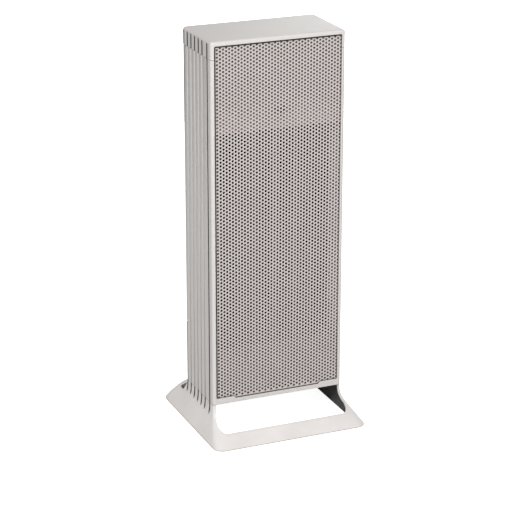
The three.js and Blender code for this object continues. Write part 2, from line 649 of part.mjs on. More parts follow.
function bracket(floor, openSide) {
  const { half, height, wall, plate } = BRACKET;
  const outer = box([-half, half], [BAR.front - wall, BAR.back + wall], [floor, floor + height]);
  const pocket = openSide > 0 ? [floor + plate, floor + height + 1] : [floor - 1, floor + height - plate];
  const inner = half - wall;
  return outer.subtract(box([-inner, inner], [BAR.front - GAP, BAR.back + GAP], pocket));
}
add('heater_bracket_lower', bracket(GUIDE_RANGE[0], 1), 'greyPlastic');
add('heater_bracket_upper', bracket(GUIDE_RANGE[1] - BRACKET.height, -1), 'greyPlastic');

function barOutline(centre) {
  const { half, front, back } = BAR;
  const left = centre - half;
  const right = centre + half;
  const notch = (x, y, inward) => [[x - 1, y], [x - 1, y + inward], [x + 1, y + inward], [x + 1, y]];
  const notches = [-half / 2, 0, half / 2].map((x) => centre + x);
  const frontEdge = notches.flatMap((x) => notch(x, front, 2));
  const backEdge = notches.reverse().flatMap((x) => notch(x, back, -2).reverse());
  return [[left, front], ...frontEdge, [right, front], [right, back], ...backEdge, [left, back]];
}

for (let i = 0; i < 4; i++) {
  const centre = BAR.pitch * (i - 1.5);
  add(`ptc_bar_${i + 1}`, prism('z', barOutline(centre), BAR.bottom, BAR.top), 'aluminium');
}
const CUTOUT = { centre: [70, 415], flange: 8, body: 6, flangeBack: BAR.back + 2, back: BAR.back + 3.6 };
add('thermal_cutout', rod('y', CUTOUT.centre, CUTOUT.flange, BAR.back + GAP, CUTOUT.flangeBack, 16)
  .add(rod('y', CUTOUT.centre, CUTOUT.body, BAR.back + 1, CUTOUT.back, 16)), 'blackPlastic');

// ---- cross-flow impeller and its motor -----------------------------------------------------------
const WHEEL = { chord: 7, overlap: 0.3, disc: 3, hub: 8, hubHeight: 14, pin: 2.4, pinLength: 10, sides: 48 };

function buildImpeller() {
  const { radius, bottom, top, blades } = FAN;
  const disc = (from, to) => rod('z', [0, 0], radius + WHEEL.overlap, from, to, WHEEL.sides);
  const middle = (bottom + top) / 2;
  const inner = radius - WHEEL.chord;
  const step = WHEEL.chord / 2;
  let wheel = disc(bottom, bottom + WHEEL.disc);
  wheel = wheel.add(disc(middle - 1, middle + 1));
  wheel = wheel.add(disc(top - WHEEL.disc, top));
  for (let i = 0; i < blades; i++) {
    const start = 360 * i / blades;
    const outline = [
      ...[0, 4, 10].map((lag, k) => arc(0, 0, inner + step * k, start + lag, start + lag, 1)[0]),
      ...[12.5, 6.8, 3].map((lag, k) => arc(0, 0, radius - step * k, start + lag, start + lag, 1)[0]),
    ];
    wheel = wheel.add(prism('z', outline, bottom + 1, top - 1));
  }
  wheel = wheel.add(rod('z', [0, 0], WHEEL.hub, bottom + 1, bottom + WHEEL.hubHeight, 24));
  wheel = wheel.subtract(rod('z', [0, 0], SHAFT_RADIUS + GAP, bottom - 1, bottom + WHEEL.hubHeight + 1, 24));
  return wheel.add(rod('z', [0, 0], WHEEL.pin, top - 1, top + WHEEL.pinLength, 16));
}
const fanAxis = [FAN.x, FAN.y, 0];
add('impeller', buildImpeller(), 'blackPlastic', { at: fanAxis });

const BUSH = { body: 5, flange: 8, bore: WHEEL.pin + GAP, height: 5 };
const bushTop = FAN_PLATE_HIGH + BUSH.height;
add('bearing_bush', rod('z', [0, 0], BUSH.body, FAN_PLATE_HIGH - 1, bushTop, 24)
  .add(rod('z', [0, 0], BUSH.flange, FAN_PLATE_HIGH + FAN_PLATE + GAP, bushTop, 24))
  .subtract(rod('z', [0, 0], BUSH.bore, FAN_PLATE_HIGH - 2, bushTop + 1, 16)), 'copperSteel',
  { at: fanAxis });

const MOTOR = { radius: 29, rotor: 17.8, airGap: 0.7, bottom: 62, statorBottom: 68, statorTop: 102 };
const MOTOR_TOP = FAN_PLATE_LOW - GAP;
const BEARING = SHAFT_RADIUS + 0.4;

add('motor_cap_lower', rod('z', [0, 0], MOTOR.radius, MOTOR.bottom, MOTOR.statorBottom - GAP, LARGE)
  .subtract(rod('z', [0, 0], BEARING, MOTOR.bottom - 12, MOTOR.bottom + 18)), 'zincSteel', { at: fanAxis });
add('motor_stator', rod('z', [0, 0], MOTOR.radius - 1, MOTOR.statorBottom, MOTOR.statorTop, LARGE)
  .subtract(rod('z', [0, 0], MOTOR.rotor + MOTOR.airGap, MOTOR.bottom, MOTOR_TOP, LARGE)), 'copperSteel',
  { at: fanAxis });

function buildUpperMotorCap() {
  let cap = rod('z', [0, 0], MOTOR.radius, MOTOR.statorTop + GAP, MOTOR_TOP, LARGE);
  cap = cap.subtract(rod('z', [0, 0], BEARING, MOTOR.statorTop - 1, MOTOR_TOP + 1));
  for (const [x, y] of MOTOR_SCREWS) {
    const centre = [x - FAN.x, y - FAN.y];
    cap = cap.subtract(rod('z', centre, MOTOR_SCREW.bore, MOTOR.statorTop, MOTOR_TOP + 1, SMALL));
  }
  return cap;
}
add('motor_cap_upper', buildUpperMotorCap(), 'zincSteel', { at: fanAxis });

const ROTOR_CLEARANCE = 1;
const SHAFT_RANGE = [MOTOR.bottom - 4, FAN.bottom + 12];
const ROTOR_RANGE = [MOTOR.statorBottom + ROTOR_CLEARANCE, MOTOR.statorTop - ROTOR_CLEARANCE];
add('motor_rotor', rod('z', [0, 0], MOTOR.rotor, ...ROTOR_RANGE, LARGE)
  .add(rod('z', [0, 0], SHAFT_RADIUS, ...SHAFT_RANGE)), 'zincSteel', { at: fanAxis });

MOTOR_SCREWS.forEach((centre, i) => {
  const seat = FAN_PLATE_LOW + FAN_PLATE + GAP;
  const head = rod('z', centre, MOTOR_SCREW.head, seat, seat + MOTOR_SCREW.headHeight, SMALL);
  const shank = rod('z', centre, MOTOR_SCREW.shank, MOTOR_SCREW.tip, seat + 1, SMALL);
  add(`motor_screw_${i + 1}`, head.add(shank), 'zincSteel');
});

// ---- electrics ------------------------------------------------------------------------------------
const BOARD = { half: 62, front: 22, bottom: FAN_PLATE_HIGH + FAN_PLATE + GAP, top: 522 };
const RELAYS = { starts: [-40, -16, 8], width: 18, front: 7, bottom: 475, top: 494 };
const TRANSFORMER = [[36, 56], [4, 22.5], [470, 500]];
const CAPACITOR = { centre: [-46, 462], radius: 6, front: 6 };

function buildControlBoard() {
  const back = BOARD.front + BOARD_THICKNESS;
  const inBoard = BOARD.front + 0.5;
  let board = box([-BOARD.half, BOARD.half], [BOARD.front, back], [BOARD.bottom, BOARD.top]);
  for (const x of RELAYS.starts) {
    board = board.add(box([x, x + RELAYS.width], [RELAYS.front, inBoard], [RELAYS.bottom, RELAYS.top]));
  }
  board = board.add(box(...TRANSFORMER));
  return board.add(rod('y', CAPACITOR.centre, CAPACITOR.radius, CAPACITOR.front, inBoard, 16));
}
add('control_board', buildControlBoard(), 'circuitBoard');

const TERMINALS = { span: [-66, -38], depth: [22, 36], top: 58 };
const TERMINAL_BORES = { centres: [-61, -52, -43], radius: 2.2, floor: 53 };

function buildTerminalBlock() {
  const { span, depth, top } = TERMINALS;
  const { centres, radius, floor } = TERMINAL_BORES;
  let block = box(span, depth, [CHASSIS_TOP + GAP, top]);
  for (const x of centres) {
    block = block.subtract(rod('z', [x, (depth[0] + depth[1]) / 2], radius, floor, top + 2, SMALL));
  }
  return block;
}
add('terminal_block', buildTerminalBlock(), 'greyPlastic');

// Tilt switch: a weight on a pivot between two uprights, drawn about the pivot.
const UPRIGHT = { inner: 9, outer: 10.5, half: 5, top: 5 };
const PENDULUM_FOOT = { halfX: 14, halfY: 11, thickness: 1.5 };

function buildTiltBracket() {
  const { halfX, halfY, thickness } = PENDULUM_FOOT;
  const floor = CHASSIS_TOP + GAP - PENDULUM.z;
  let frame = box([-halfX, halfX], [-halfY, halfY], [floor, floor + thickness]);
  for (const span of [[-UPRIGHT.outer, -UPRIGHT.inner], [UPRIGHT.inner, UPRIGHT.outer]]) {
    frame = frame.add(box([-UPRIGHT.half, UPRIGHT.half], span, [floor + 1, UPRIGHT.top]));
  }
  return frame.subtract(rod('y', [0, 0], PENDULUM.bore, -12, 12, SMALL));
}
const pendulumAt = [PENDULUM.x, PENDULUM.y, PENDULUM.z];
add('tilt_bracket', buildTiltBracket(), 'blackPlastic', { at: pendulumAt });
add('tilt_pendulum', rod('y', [0, 0], PENDULUM.pin, -PENDULUM.pinHalf, PENDULUM.pinHalf, SMALL)
  .add(rod('y', [0, 0], 3, -7, 7, SMALL))
  .add(box([-1.5, 1.5], [-3, 3], [2 - PENDULUM.arm, 0]))
  .add(rod('y', [0, -PENDULUM.arm], PENDULUM.weight, -6, 6)), 'zincSteel', { at: pendulumAt });

export default heater;
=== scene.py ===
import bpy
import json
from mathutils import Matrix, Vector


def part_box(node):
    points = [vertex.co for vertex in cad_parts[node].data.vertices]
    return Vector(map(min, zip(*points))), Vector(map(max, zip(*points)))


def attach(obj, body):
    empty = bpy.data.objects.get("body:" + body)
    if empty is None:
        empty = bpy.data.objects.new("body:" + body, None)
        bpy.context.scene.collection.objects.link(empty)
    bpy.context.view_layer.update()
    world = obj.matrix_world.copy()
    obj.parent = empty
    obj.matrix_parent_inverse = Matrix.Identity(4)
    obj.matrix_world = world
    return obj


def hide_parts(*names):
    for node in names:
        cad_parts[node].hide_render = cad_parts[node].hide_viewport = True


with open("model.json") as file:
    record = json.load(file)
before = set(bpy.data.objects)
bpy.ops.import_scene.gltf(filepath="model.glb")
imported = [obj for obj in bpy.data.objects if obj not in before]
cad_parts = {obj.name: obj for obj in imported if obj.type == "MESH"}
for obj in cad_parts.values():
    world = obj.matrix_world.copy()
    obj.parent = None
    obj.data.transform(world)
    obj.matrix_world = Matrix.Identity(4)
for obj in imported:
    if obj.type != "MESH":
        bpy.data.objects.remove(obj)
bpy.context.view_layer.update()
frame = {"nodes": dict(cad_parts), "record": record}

import json
import math

import bmesh
import bpy
from mathutils import Matrix, Vector

# Millimetres in the geometry below; every mesh is scaled to metres once, when it is made.
MM = 0.001
GAP = 0.3


def size_of(node):
    """The lowest and highest corner of a CAD node, in millimetres."""
    low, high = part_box(node)
    return [c / MM for c in low], [c / MM for c in high]


def centre_of(node):
    """The middle of a CAD node's box, in millimetres."""
    return [(a + b) / 2 for a, b in zip(*size_of(node))]


def add_object(name, data):
    """A new object in the scene."""
    ob = bpy.data.objects.new(name, data)
    bpy.context.scene.collection.objects.link(ob)
    return ob


# ---- camera ----
IMAGE_WIDTH = 530
FOCAL_PIXELS = 2000
SENSOR_WIDTH = 36
CAMERA_AT = Vector((-1.0199, -2.3953, 1.1729))
CAMERA_AZIMUTH, CAMERA_TILT, CAMERA_ROLL = -23.11, 20.08, 0.10
CLIP_END = 50


def make_camera():
    azimuth, tilt = math.radians(CAMERA_AZIMUTH), math.radians(CAMERA_TILT)
    back = Vector((math.sin(azimuth) * math.cos(tilt), -math.cos(azimuth) * math.cos(tilt),
                   math.sin(tilt)))
    right = Vector((math.cos(azimuth), math.sin(azimuth), 0))
    turn = Matrix((right, back.cross(right), back)).transposed().to_4x4()
    data = bpy.data.cameras.new("camera")
    data.sensor_width = SENSOR_WIDTH
    data.lens = FOCAL_PIXELS / IMAGE_WIDTH * SENSOR_WIDTH
    data.clip_end = CLIP_END
    camera = add_object("camera", data)
    roll = Matrix.Rotation(math.radians(CAMERA_ROLL), 4, "Z")
    camera.matrix_world = Matrix.Translation(CAMERA_AT) @ turn @ roll
    bpy.context.scene.camera = camera


make_camera()


# ---- mesh helpers ----
MERGE = 1e-6  # points closer than this, in metres, are one


def mesh_of(points, faces):
    """A closed or open mesh from points in millimetres, with its normals outwards."""
    mesh = bpy.data.meshes.new("piece")
    mesh.from_pydata([[c * MM for c in p] for p in points], [], faces)
    return tidied(mesh)


def edited(mesh, change):
    """The same mesh after a change made to it as a bmesh."""
    work = bmesh.new()
    work.from_mesh(mesh)
    change(work)
    work.to_mesh(mesh)
    work.free()
    return mesh


def tidied(mesh):
    """The same mesh with its double points merged and its normals outwards."""
    def change(work):
        bmesh.ops.remove_doubles(work, verts=work.verts, dist=MERGE)
        bmesh.ops.recalc_face_normals(work, faces=work.faces)
    return edited(mesh, change)


PLACES = {
    "x": lambda a, b, t: (t, a, b),
    "y": lambda a, b, t: (a, t, b),
    "z": lambda a, b, t: (a, b, t),
}


def prism(axis, outline, start, end):
    """A prism along an axis; the outline is (y, z) along x, (x, z) along y and (x, y) along z."""
    place, n = PLACES[axis], len(outline)
    points = [place(a, b, t) for t in (start, end) for a, b in outline]
    sides = [(i, (i + 1) % n, n + (i + 1) % n, n + i) for i in range(n)]
    return mesh_of(points, [tuple(range(n))[::-1], tuple(range(n, 2 * n)), *sides])


def block(x_range, y_range, z_range):
    (x0, x1), (y0, y1) = x_range, y_range
    return prism("z", [(x0, y0), (x1, y0), (x1, y1), (x0, y1)], *z_range)


def evenly(start, end, steps):
    """Evenly spaced values from start to end, both included."""
    return [start + (end - start) * i / steps for i in range(steps + 1)]


def arc(a, b, radius, start, end, steps):
    angles = [math.radians(t) for t in evenly(start, end, steps)]
    return [(a + radius * math.cos(t), b + radius * math.sin(t)) for t in angles]


def disc(axis, centre, radius, start, end, sides=32):
    return prism(axis, arc(*centre, radius, 0, 360, sides)[:-1], start, end)


def rounded(corners, radius, steps=4):
    """A polygon with its corners rounded off."""
    points = []
    for i, corner in enumerate(corners):
        here = Vector(corner)
        before = (Vector(corners[i - 1]) - here).normalized()
        after = (Vector(corners[(i + 1) % len(corners)]) - here).normalized()
        cut = radius / math.tan(before.angle(after) / 2)
        centre = here + (before + after).normalized() * radius / math.sin(before.angle(after) / 2)
        first, last = here + before * cut - centre, here + after * cut - centre
        turn = first.angle_signed(last)
        for k in range(steps + 1):
            swung = first.copy()
            swung.rotate(Matrix.Rotation(-turn * k / steps, 2))
            points.append(tuple(centre + swung))
    return points


def rectangle(a_half, b_half, centre, radius):
    """A rounded rectangle from its half sizes and its middle."""
    a, b = centre
    return rounded([(a - a_half, b - b_half), (a + a_half, b - b_half),
                    (a + a_half, b + b_half), (a - a_half, b + b_half)], radius)


def slot_outline(a_half, b_half, centre):
    """A slot whose short sides are half circles."""
    r = min(a_half, b_half)
    a, b = a_half - r, b_half - r
    ends = [(a, b, 0), (-a, b, 90), (-a, -b, 180), (a, -b, 270)]
    points = [p for x, y, t in ends for p in arc(centre[0] + x, centre[1] + y, r, t, t + 90, 6)]
    return [p for i, p in enumerate(points) if (Vector(p) - Vector(points[i - 1])).length > 1e-6]


def ring_stack(rings):
    """A closed body through rings of equal count, lowest first."""
    n, last = len(rings[0]), len(rings) - 1
    points = [p for ring in rings for p in ring]
    faces = []
    for k in range(last):
        for i in range(n):
            j = (i + 1) % n
            faces.append((k * n + i, k * n + j, (k + 1) * n + j, (k + 1) * n + i))
    faces += [tuple(range(n))[::-1], tuple(range(last * n, (last + 1) * n))]
    return mesh_of(points, faces)


def joined(meshes):
    def change(work):
        for mesh in meshes:
            work.from_mesh(mesh)
    return edited(bpy.data.meshes.new("piece"), change)


def baked(mesh, setup):
    """The mesh after the modifiers that setup adds to a passing object."""
    ob = add_object("work", mesh)
    setup(ob)
    graph = bpy.context.evaluated_depsgraph_get()
    out = bpy.data.meshes.new_from_object(ob.evaluated_get(graph))
    bpy.data.objects.remove(ob)
    return out


FLAT_ANGLE = 0.2  # faces that meet at less than this many degrees are one


def combine(base, others, operation="DIFFERENCE"):
    """The base with the others cut away or joined on, and its flat faces made whole again."""
    helpers = []

    def setup(ob):
        for other in others:
            helpers.append(add_object("helper", other))
            cut = ob.modifiers.new("combine", "BOOLEAN")
            cut.operation, cut.solver, cut.object = operation, "EXACT", helpers[-1]

    out = baked(base, setup)
    for helper in helpers:
        bpy.data.objects.remove(helper)
    return edited(tidied(out), lambda work: bmesh.ops.dissolve_limit(
        work, angle_limit=math.radians(FLAT_ANGLE), verts=work.verts, edges=work.edges))


def mirrored(mesh):
    out = mesh.copy()
    out.transform(Matrix.Scale(-1, 4, (1, 0, 0)))
    out.flip_normals()
    return out


def add_bevel(ob, edge, segments, angle):
    """Rounds off the edges of an object where its faces meet at more than an angle."""
    bevel = ob.modifiers.new("bevel", "BEVEL")
    bevel.width, bevel.segments = edge * MM, segments
    bevel.limit_method, bevel.angle_limit = "ANGLE", math.radians(angle)
    return bevel


def softened(mesh, edge, segments=2, angle=32, clamp=True):
    """The mesh with its sharp edges rounded off and its flat faces shaded flat."""
    mesh.shade_smooth()

    def setup(ob):
        add_bevel(ob, edge, segments, angle).use_clamp_overlap = clamp
        weighted = ob.modifiers.new("weighted", "WEIGHTED_NORMAL")
        weighted.keep_sharp = True
        weighted.weight = 60

    return baked(mesh, setup)


def creased(mesh, angle):
    """The same mesh, smooth except where its faces meet at more than an angle."""
    mesh.shade_smooth()
    mesh.set_sharp_from_angle(angle=math.radians(angle))
    return mesh


def moved(mesh, offset, turn):
    """A copy turned by degrees about the X axis and then shifted, in millimetres."""
    out = mesh.copy()
    place = Matrix.Translation(Vector(offset) * MM)
    out.transform(place @ Matrix.Rotation(math.radians(turn), 4, "X"))
    return out


# ---- materials ----
OPEN_PLACE = 0.92  # ambient occlusion above this leaves the colour alone


class Surface:
    """A procedural material under construction."""

    def __init__(self, name, colour, roughness, metallic=0.0, **fixed):
        self.material = bpy.data.materials.new(name)
        self.material.use_nodes = True
        self.nodes = self.material.node_tree.nodes
        self.links = self.material.node_tree.links
        self.shader = self.nodes["Principled BSDF"]
        self.shader.inputs["Base Color"].default_value = (*colour, 1)
        self.shader.inputs["Roughness"].default_value = roughness
        self.shader.inputs["Metallic"].default_value = metallic
        for socket, value in fixed.items():
            self.shader.inputs[socket.replace("_", " ")].default_value = value
        self.colour = colour
        self.place = self.nodes.new("ShaderNodeTexCoord").outputs["Object"]
        self.tint = None
        self.normal = None

    def node(self, kind, inputs=None, **settings):
        made = self.nodes.new("ShaderNode" + kind)
        for key, value in settings.items():
            setattr(made, key, value)
        for key, value in (inputs or {}).items():
            if isinstance(value, bpy.types.NodeSocket):
                self.links.new(value, made.inputs[key])
            else:
                made.inputs[key].default_value = value
        return made

    def noise(self, size, detail, stretch=None, roughness=0.5):
        """Noise with features of a size in millimetres, drawn out along an axis if asked."""
        place = self.place
        if stretch:
            place = self.node("Mapping", {"Vector": place, "Scale": stretch}).outputs[0]
        return self.node("TexNoise", {
            "Vector": place, "Scale": 1 / (size * MM), "Detail": detail,
            "Roughness": roughness}).outputs["Fac"]

    def height(self):
        """The height above the floor at rest, in metres."""
        return self.node("SeparateXYZ", {"Vector": self.place}).outputs["Z"]

    def spread(self, value, low, high, to_low, to_high):
        return self.node("MapRange", {
            "Value": value, "From Min": low, "From Max": high,
            "To Min": to_low, "To Max": to_high}).outputs[0]

    def mix(self, value, low, high, amount, colour):
        """Mixes in a colour: none of it where the value is low, the amount where it is high."""
        share = self.spread(value, low, high, 0, amount)
        mix = self.node("Mix", {"Factor": share}, data_type="RGBA")
        below, above = [s for s in mix.inputs if s.type == "RGBA"][:2]
        if self.tint is None:
            below.default_value = (*self.colour, 1)
        else:
            self.links.new(self.tint, below)
        above.default_value = (*colour, 1)
        self.tint = [s for s in mix.outputs if s.type == "RGBA"][0]
        self.links.new(self.tint, self.shader.inputs["Base Color"])
        return self

    def shade(self, value, low, high, amount, factor):
        """Mixes in the base colour times a factor."""
        return self.mix(value, low, high, amount, scaled(self.colour, factor))

    def paint_nook_shade(self, reach, closed, amount, factor):
        """Paints shade into the places that are closed in, by ambient occlusion within a reach in
        millimetres.
        """
        light = self.node("AmbientOcclusion", {"Distance": reach * MM}, samples=8).outputs["AO"]
        return self.shade(light, OPEN_PLACE, closed, amount, factor)

    def rough(self, value, low, high):
        self.links.new(self.spread(value, 0.3, 0.7, low, high), self.shader.inputs["Roughness"])
        return self

    def bump(self, height, strength, depth):
        """Adds bump of a depth in millimetres."""
        made = self.node("Bump", {"Height": height, "Strength": strength, "Distance": depth * MM})
        if self.normal is not None:
            self.links.new(self.normal, made.inputs["Normal"])
        self.normal = made.outputs[0]
        self.links.new(self.normal, self.shader.inputs["Normal"])
        return self


def scaled(colour, factor):
    return tuple(min(c * factor, 1) for c in colour)


def linear(red, green, blue):
    """An sRGB colour from 0 to 255 as linear light."""
    def one(c):
        c /= 255
        return c / 12.92 if c <= 0.04045 else ((c + 0.055) / 1.055) ** 2.4
    return tuple(one(c) for c in (red, green, blue))


# Heights in metres between which a shade changes: where the stand's painted light begins, and the grey
# plastic's upper and lower zones.
STAND_PAINTED_LIGHT = (0.0455, 0.0450)
UPPER_ZONE = (0.470, 0.440)
LOWER_ZONE = (0.20, 0.12)
ELEMENT_PITCH = 26.5


def casing():
    s = Surface("casing_plastic", linear(222, 218, 215), 0.42, Specular_IOR_Level=0.42)
    # Painted light: the stand is made lighter, for the light bounced up from the floor.
    s.shade(s.height(), *STAND_PAINTED_LIGHT, 1, 1.22)
    cloud = s.noise(60, 4)
    s.shade(cloud, 0.35, 0.7, 0.5, 0.96)
    s.shade(s.noise(1.6, 2), 0.62, 0.75, 0.35, 0.93)
    edge = s.node("NewGeometry").outputs["Pointiness"]
    # Lighter on sharp outer edges; painted shade darkens creases and inner corners.
    s.shade(edge, 0.53, 0.60, 0.4, 1.06)
    s.shade(edge, 0.47, 0.42, 0.35, 0.86)
    # Painted shade in grooves, slots, joints and other narrow places.
    s.paint_nook_shade(7, 0.4, 0.85, 0.22)
    s.rough(s.noise(9, 3), 0.38, 0.50)
    grain = s.noise(0.45, 2, roughness=0.6)
    return s.bump(grain, 0.12, 0.05).bump(cloud, 0.05, 0.3).material


def grille_steel():
    s = Surface("grille_steel", linear(215, 206, 203), 0.42, 0.15, Specular_IOR_Level=0.45)
    s.shade(s.noise(35, 4), 0.35, 0.7, 0.5, 0.94)
    s.shade(s.noise(0.9, 2), 0.6, 0.75, 0.3, 0.88)
    # Painted shade on the hole walls and along the frame's edges.
    s.paint_nook_shade(2, 0.5, 0.9, 0.15)
    s.rough(s.noise(5, 3), 0.34, 0.46)
    return s.bump(s.noise(0.5, 2), 0.15, 0.04).material


def black_plastic():
    s = Surface("black_plastic", (0.022, 0.020, 0.019), 0.5, Specular_IOR_Level=0.4)
    s.shade(s.noise(14, 4), 0.4, 0.7, 0.6, 1.5)
    s.shade(s.node("NewGeometry").outputs["Pointiness"], 0.53, 0.62, 0.5, 3.0)
    s.rough(s.noise(4, 3), 0.42, 0.6)
    return s.bump(s.noise(0.5, 2), 0.25, 0.06).material


def rubber():
    s = Surface("rubber", (0.20, 0.195, 0.19), 0.85, Specular_IOR_Level=0.25)
    s.shade(s.noise(3, 4), 0.4, 0.7, 0.6, 1.6)
    s.rough(s.noise(2, 3), 0.78, 0.92)
    return s.bump(s.noise(0.6, 3), 0.35, 0.08).material


def grey_plastic():
    s = Surface("grey_plastic", linear(152, 144, 141), 0.6, Specular_IOR_Level=0.35)
    height = s.height()
    s.shade(height, *UPPER_ZONE, 1, 1.7)
    s.shade(height, *LOWER_ZONE, 1, 0.30)
    s.shade(s.noise(25, 4), 0.35, 0.7, 0.6, 0.88)
    s.rough(s.noise(6, 3), 0.52, 0.68)
    return s.bump(s.noise(0.8, 2), 0.2, 0.06).material


def zinc_steel():
    s = Surface("zinc_steel", (0.50, 0.51, 0.53), 0.32, 0.9)
    grain = s.node("TexVoronoi", {"Vector": s.place, "Scale": 1 / (3.5 * MM)}).outputs["Color"]
    s.shade(s.node("RGBToBW", {"Color": grain}).outputs[0], 0.2, 0.8, 0.5, 0.72)
    s.mix(s.noise(8, 5), 0.55, 0.75, 0.4, (0.33, 0.30, 0.27))
    s.rough(s.noise(2.5, 3), 0.26, 0.44)
    return s.bump(s.noise(0.7, 2), 0.1, 0.04).material


def aluminium():
    """Brushed metal painted near-black as shade inside the heater, with one bright upright band of
    painted reflection for each heating element.
    """
    # The near-black base colour is painted shade inside the heater.
    s = Surface("aluminium", (0.036, 0.032, 0.031), 0.45, 0.7)
    brushed = s.noise(2.0, 4, stretch=(1, 1, 0.08))
    s.shade(brushed, 0.4, 0.65, 0.5, 0.7)
    s.mix(s.noise(18, 4), 0.5, 0.8, 0.35, (0.30, 0.24, 0.19))
    bands = s.node("TexWave", {"Vector": s.place, "Scale": math.pi / (10 * ELEMENT_PITCH * MM),
                               "Phase Offset": math.pi}, bands_direction="X").outputs["Fac"]
    # Painted reflection: a bright band over each heating element.
    s.mix(bands, 0.75, 0.95, 0.9, (0.95, 0.91, 0.87))
    s.rough(brushed, 0.32, 0.5)
    return s.bump(brushed, 0.2, 0.05).material


def bronze():
    s = Surface("bronze", (0.42, 0.24, 0.12), 0.4, 0.9)
    s.shade(s.noise(1.2, 4), 0.45, 0.7, 0.6, 0.6)
    s.rough(s.noise(1, 3), 0.34, 0.5)
    return s.bump(s.noise(0.3, 2), 0.2, 0.04).material


def stator_steel():
    s = Surface("stator_steel", (0.18, 0.15, 0.13), 0.45, 0.8)
    sheets = s.node("TexWave", {"Vector": s.place, "Scale": 1 / (3.0 * MM)},
                    bands_direction="Z").outputs["Fac"]
    s.shade(sheets, 0.5, 0.3, 0.6, 0.45)
    s.mix(s.noise(6, 4), 0.55, 0.8, 0.5, (0.20, 0.10, 0.05))
    s.rough(s.noise(2, 3), 0.4, 0.6)
    return s.bump(sheets, 0.5, 0.15).material


def circuit_board():
    s = Surface("circuit_board", (0.022, 0.11, 0.045), 0.35, Specular_IOR_Level=0.5)
    tracks = s.node("TexBrick", {
        "Vector": s.place, "Scale": 1 / (14 * MM), "Mortar Size": 0.06, "Mortar Smooth": 0.1,
        "Color1": (0, 0, 0, 1), "Color2": (0, 0, 0, 1), "Mortar": (1, 1, 1, 1)}).outputs["Fac"]
    s.mix(tracks, 0.4, 0.6, 1, (0.05, 0.20, 0.08))
    pads = s.node("TexVoronoi", {"Vector": s.place, "Scale": 1 / (5 * MM)}).outputs["Distance"]
    s.mix(pads, 0.14, 0.10, 1, (0.60, 0.58, 0.52))
    s.rough(s.noise(3, 3), 0.3, 0.5)
    return s.bump(tracks, 0.4, 0.1).material


def filter_mesh():
    s = Surface("filter_mesh", (0.060, 0.064, 0.070), 0.85, Specular_IOR_Level=0.3)
    fibre = s.noise(0.5, 3, stretch=(1, 1, 0.3))
    s.shade(fibre, 0.45, 0.7, 0.7, 2.2)
    s.mix(s.noise(22, 4), 0.5, 0.8, 0.4, (0.12, 0.11, 0.10))
    s.rough(s.noise(2, 3), 0.75, 0.95)
    return s.bump(fibre, 0.4, 0.1).material


FINISHES = {make.__name__: make() for make in (
    casing, grille_steel, black_plastic, rubber, grey_plastic, zinc_steel, aluminium, bronze,
    stator_steel, circuit_board, filter_mesh)}


def piece(name, mesh, finish, nodes=(), body="casing"):
    """Adds a mesh to the scene as a piece on a body, standing for CAD nodes."""
    mesh.materials.clear()
    mesh.materials.append(FINISHES[finish])
    mesh.name = name
    ob = add_object(name, mesh)
    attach(ob, body)
    if nodes:
        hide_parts(*nodes)


# ---- sizes read from the frame ----
skirt_low, skirt_high = size_of("base_skirt")
cap_low, cap_high = size_of("top_cap")
panel_low, panel_high = size_of("side_panel_right")
bezel_low, bezel_high = size_of("front_bezel")
grille_low, grille_high = size_of("front_grille")
door_low, door_high = size_of("intake_door")

SIDE, FRONT, REAR = cap_high[0], cap_low[1], cap_high[1]
SEAM, TOP = cap_low[2], cap_high[2]
STAND_HALF, STAND_FRONT, STAND_REAR = skirt_high[0], skirt_low[1], skirt_high[1]
STAND_BOTTOM, STAND_TOP = skirt_low[2], skirt_high[2] + GAP
PANEL_INSIDE = size_of("chassis_plate")[1][0] + GAP

BODY_CORNER = 4
WALL = 2.5
OPENING_HALF, OPENING_TOP, RAIL_TOP = 91.5, 551, 54.5
GROOVE_PITCH, GROOVE_WIDTH = 13.35, 4.4
FRONT_GROOVE, REAR_GROOVE = -37.4, 46.6
GROOVES = [REAR_GROOVE - GROOVE_PITCH * i for i in range(6)][::-1]
ALL_GROOVES = [FRONT_GROOVE, *GROOVES]

# ---- stand ----
STAND_CORNER = 14
STAND_WALL = 2.2
WINDOW_MARGIN = 4
WINDOW_CORNER = 9
FRONT_SILL, REAR_SILL = 14.7, 18
LINTEL = 42.5
DECK_SETBACK = 9
# Control points of the flare, as (share of the full spread, height).
FRONT_CURVE = [(0, 42), (0.03, 26), (0.22, 24.5), (1, 2)]
REAR_CURVE = [(0, 45.5), (0.65, 29), (1, 2)]
STAND_ROWS = [STAND_BOTTOM, 2, 4.5, 7, 9.5, 12, 14.7, 16.3, 18, 19.8, 21.7, 23.7, 25.3, 27, 28.3,
              29.6, 31, 32.5, 34, 35.5, 37, 38.5, 40, 41.3, 42.5, 44, STAND_TOP]
HALVINGS = 40
CORNER_SAMPLES = 24


def bezier(points, t):
    while len(points) > 1:
        points = [tuple(p + (q - p) * t for p, q in zip(a, b))
                  for a, b in zip(points, points[1:])]
    return points[0]


def flare(curve, z):
    """The share of the full spread that the flare has at a height."""
    if z <= curve[-1][1]:
        return 1.0
    if z >= curve[0][1]:
        return 0.0
    low, high = 0.0, 1.0
    for _ in range(HALVINGS):
        middle = (low + high) / 2
        low, high = (middle, high) if bezier(curve, middle)[1] > z else (low, middle)
    return bezier(curve, high)[0]


def flared(inner, outer, curve=FRONT_CURVE):
    """A measure of the stand by height, from the tower's to the foot's."""
    return lambda z: inner + (outer - inner) * flare(curve, z)


half_width = flared(SIDE, STAND_HALF)
stand_corner = flared(BODY_CORNER, STAND_CORNER)
stand_front = flared(FRONT, STAND_FRONT)
stand_rear = flared(REAR, STAND_REAR, REAR_CURVE)


def window_edge(z):
    return half_width(z) - WINDOW_MARGIN


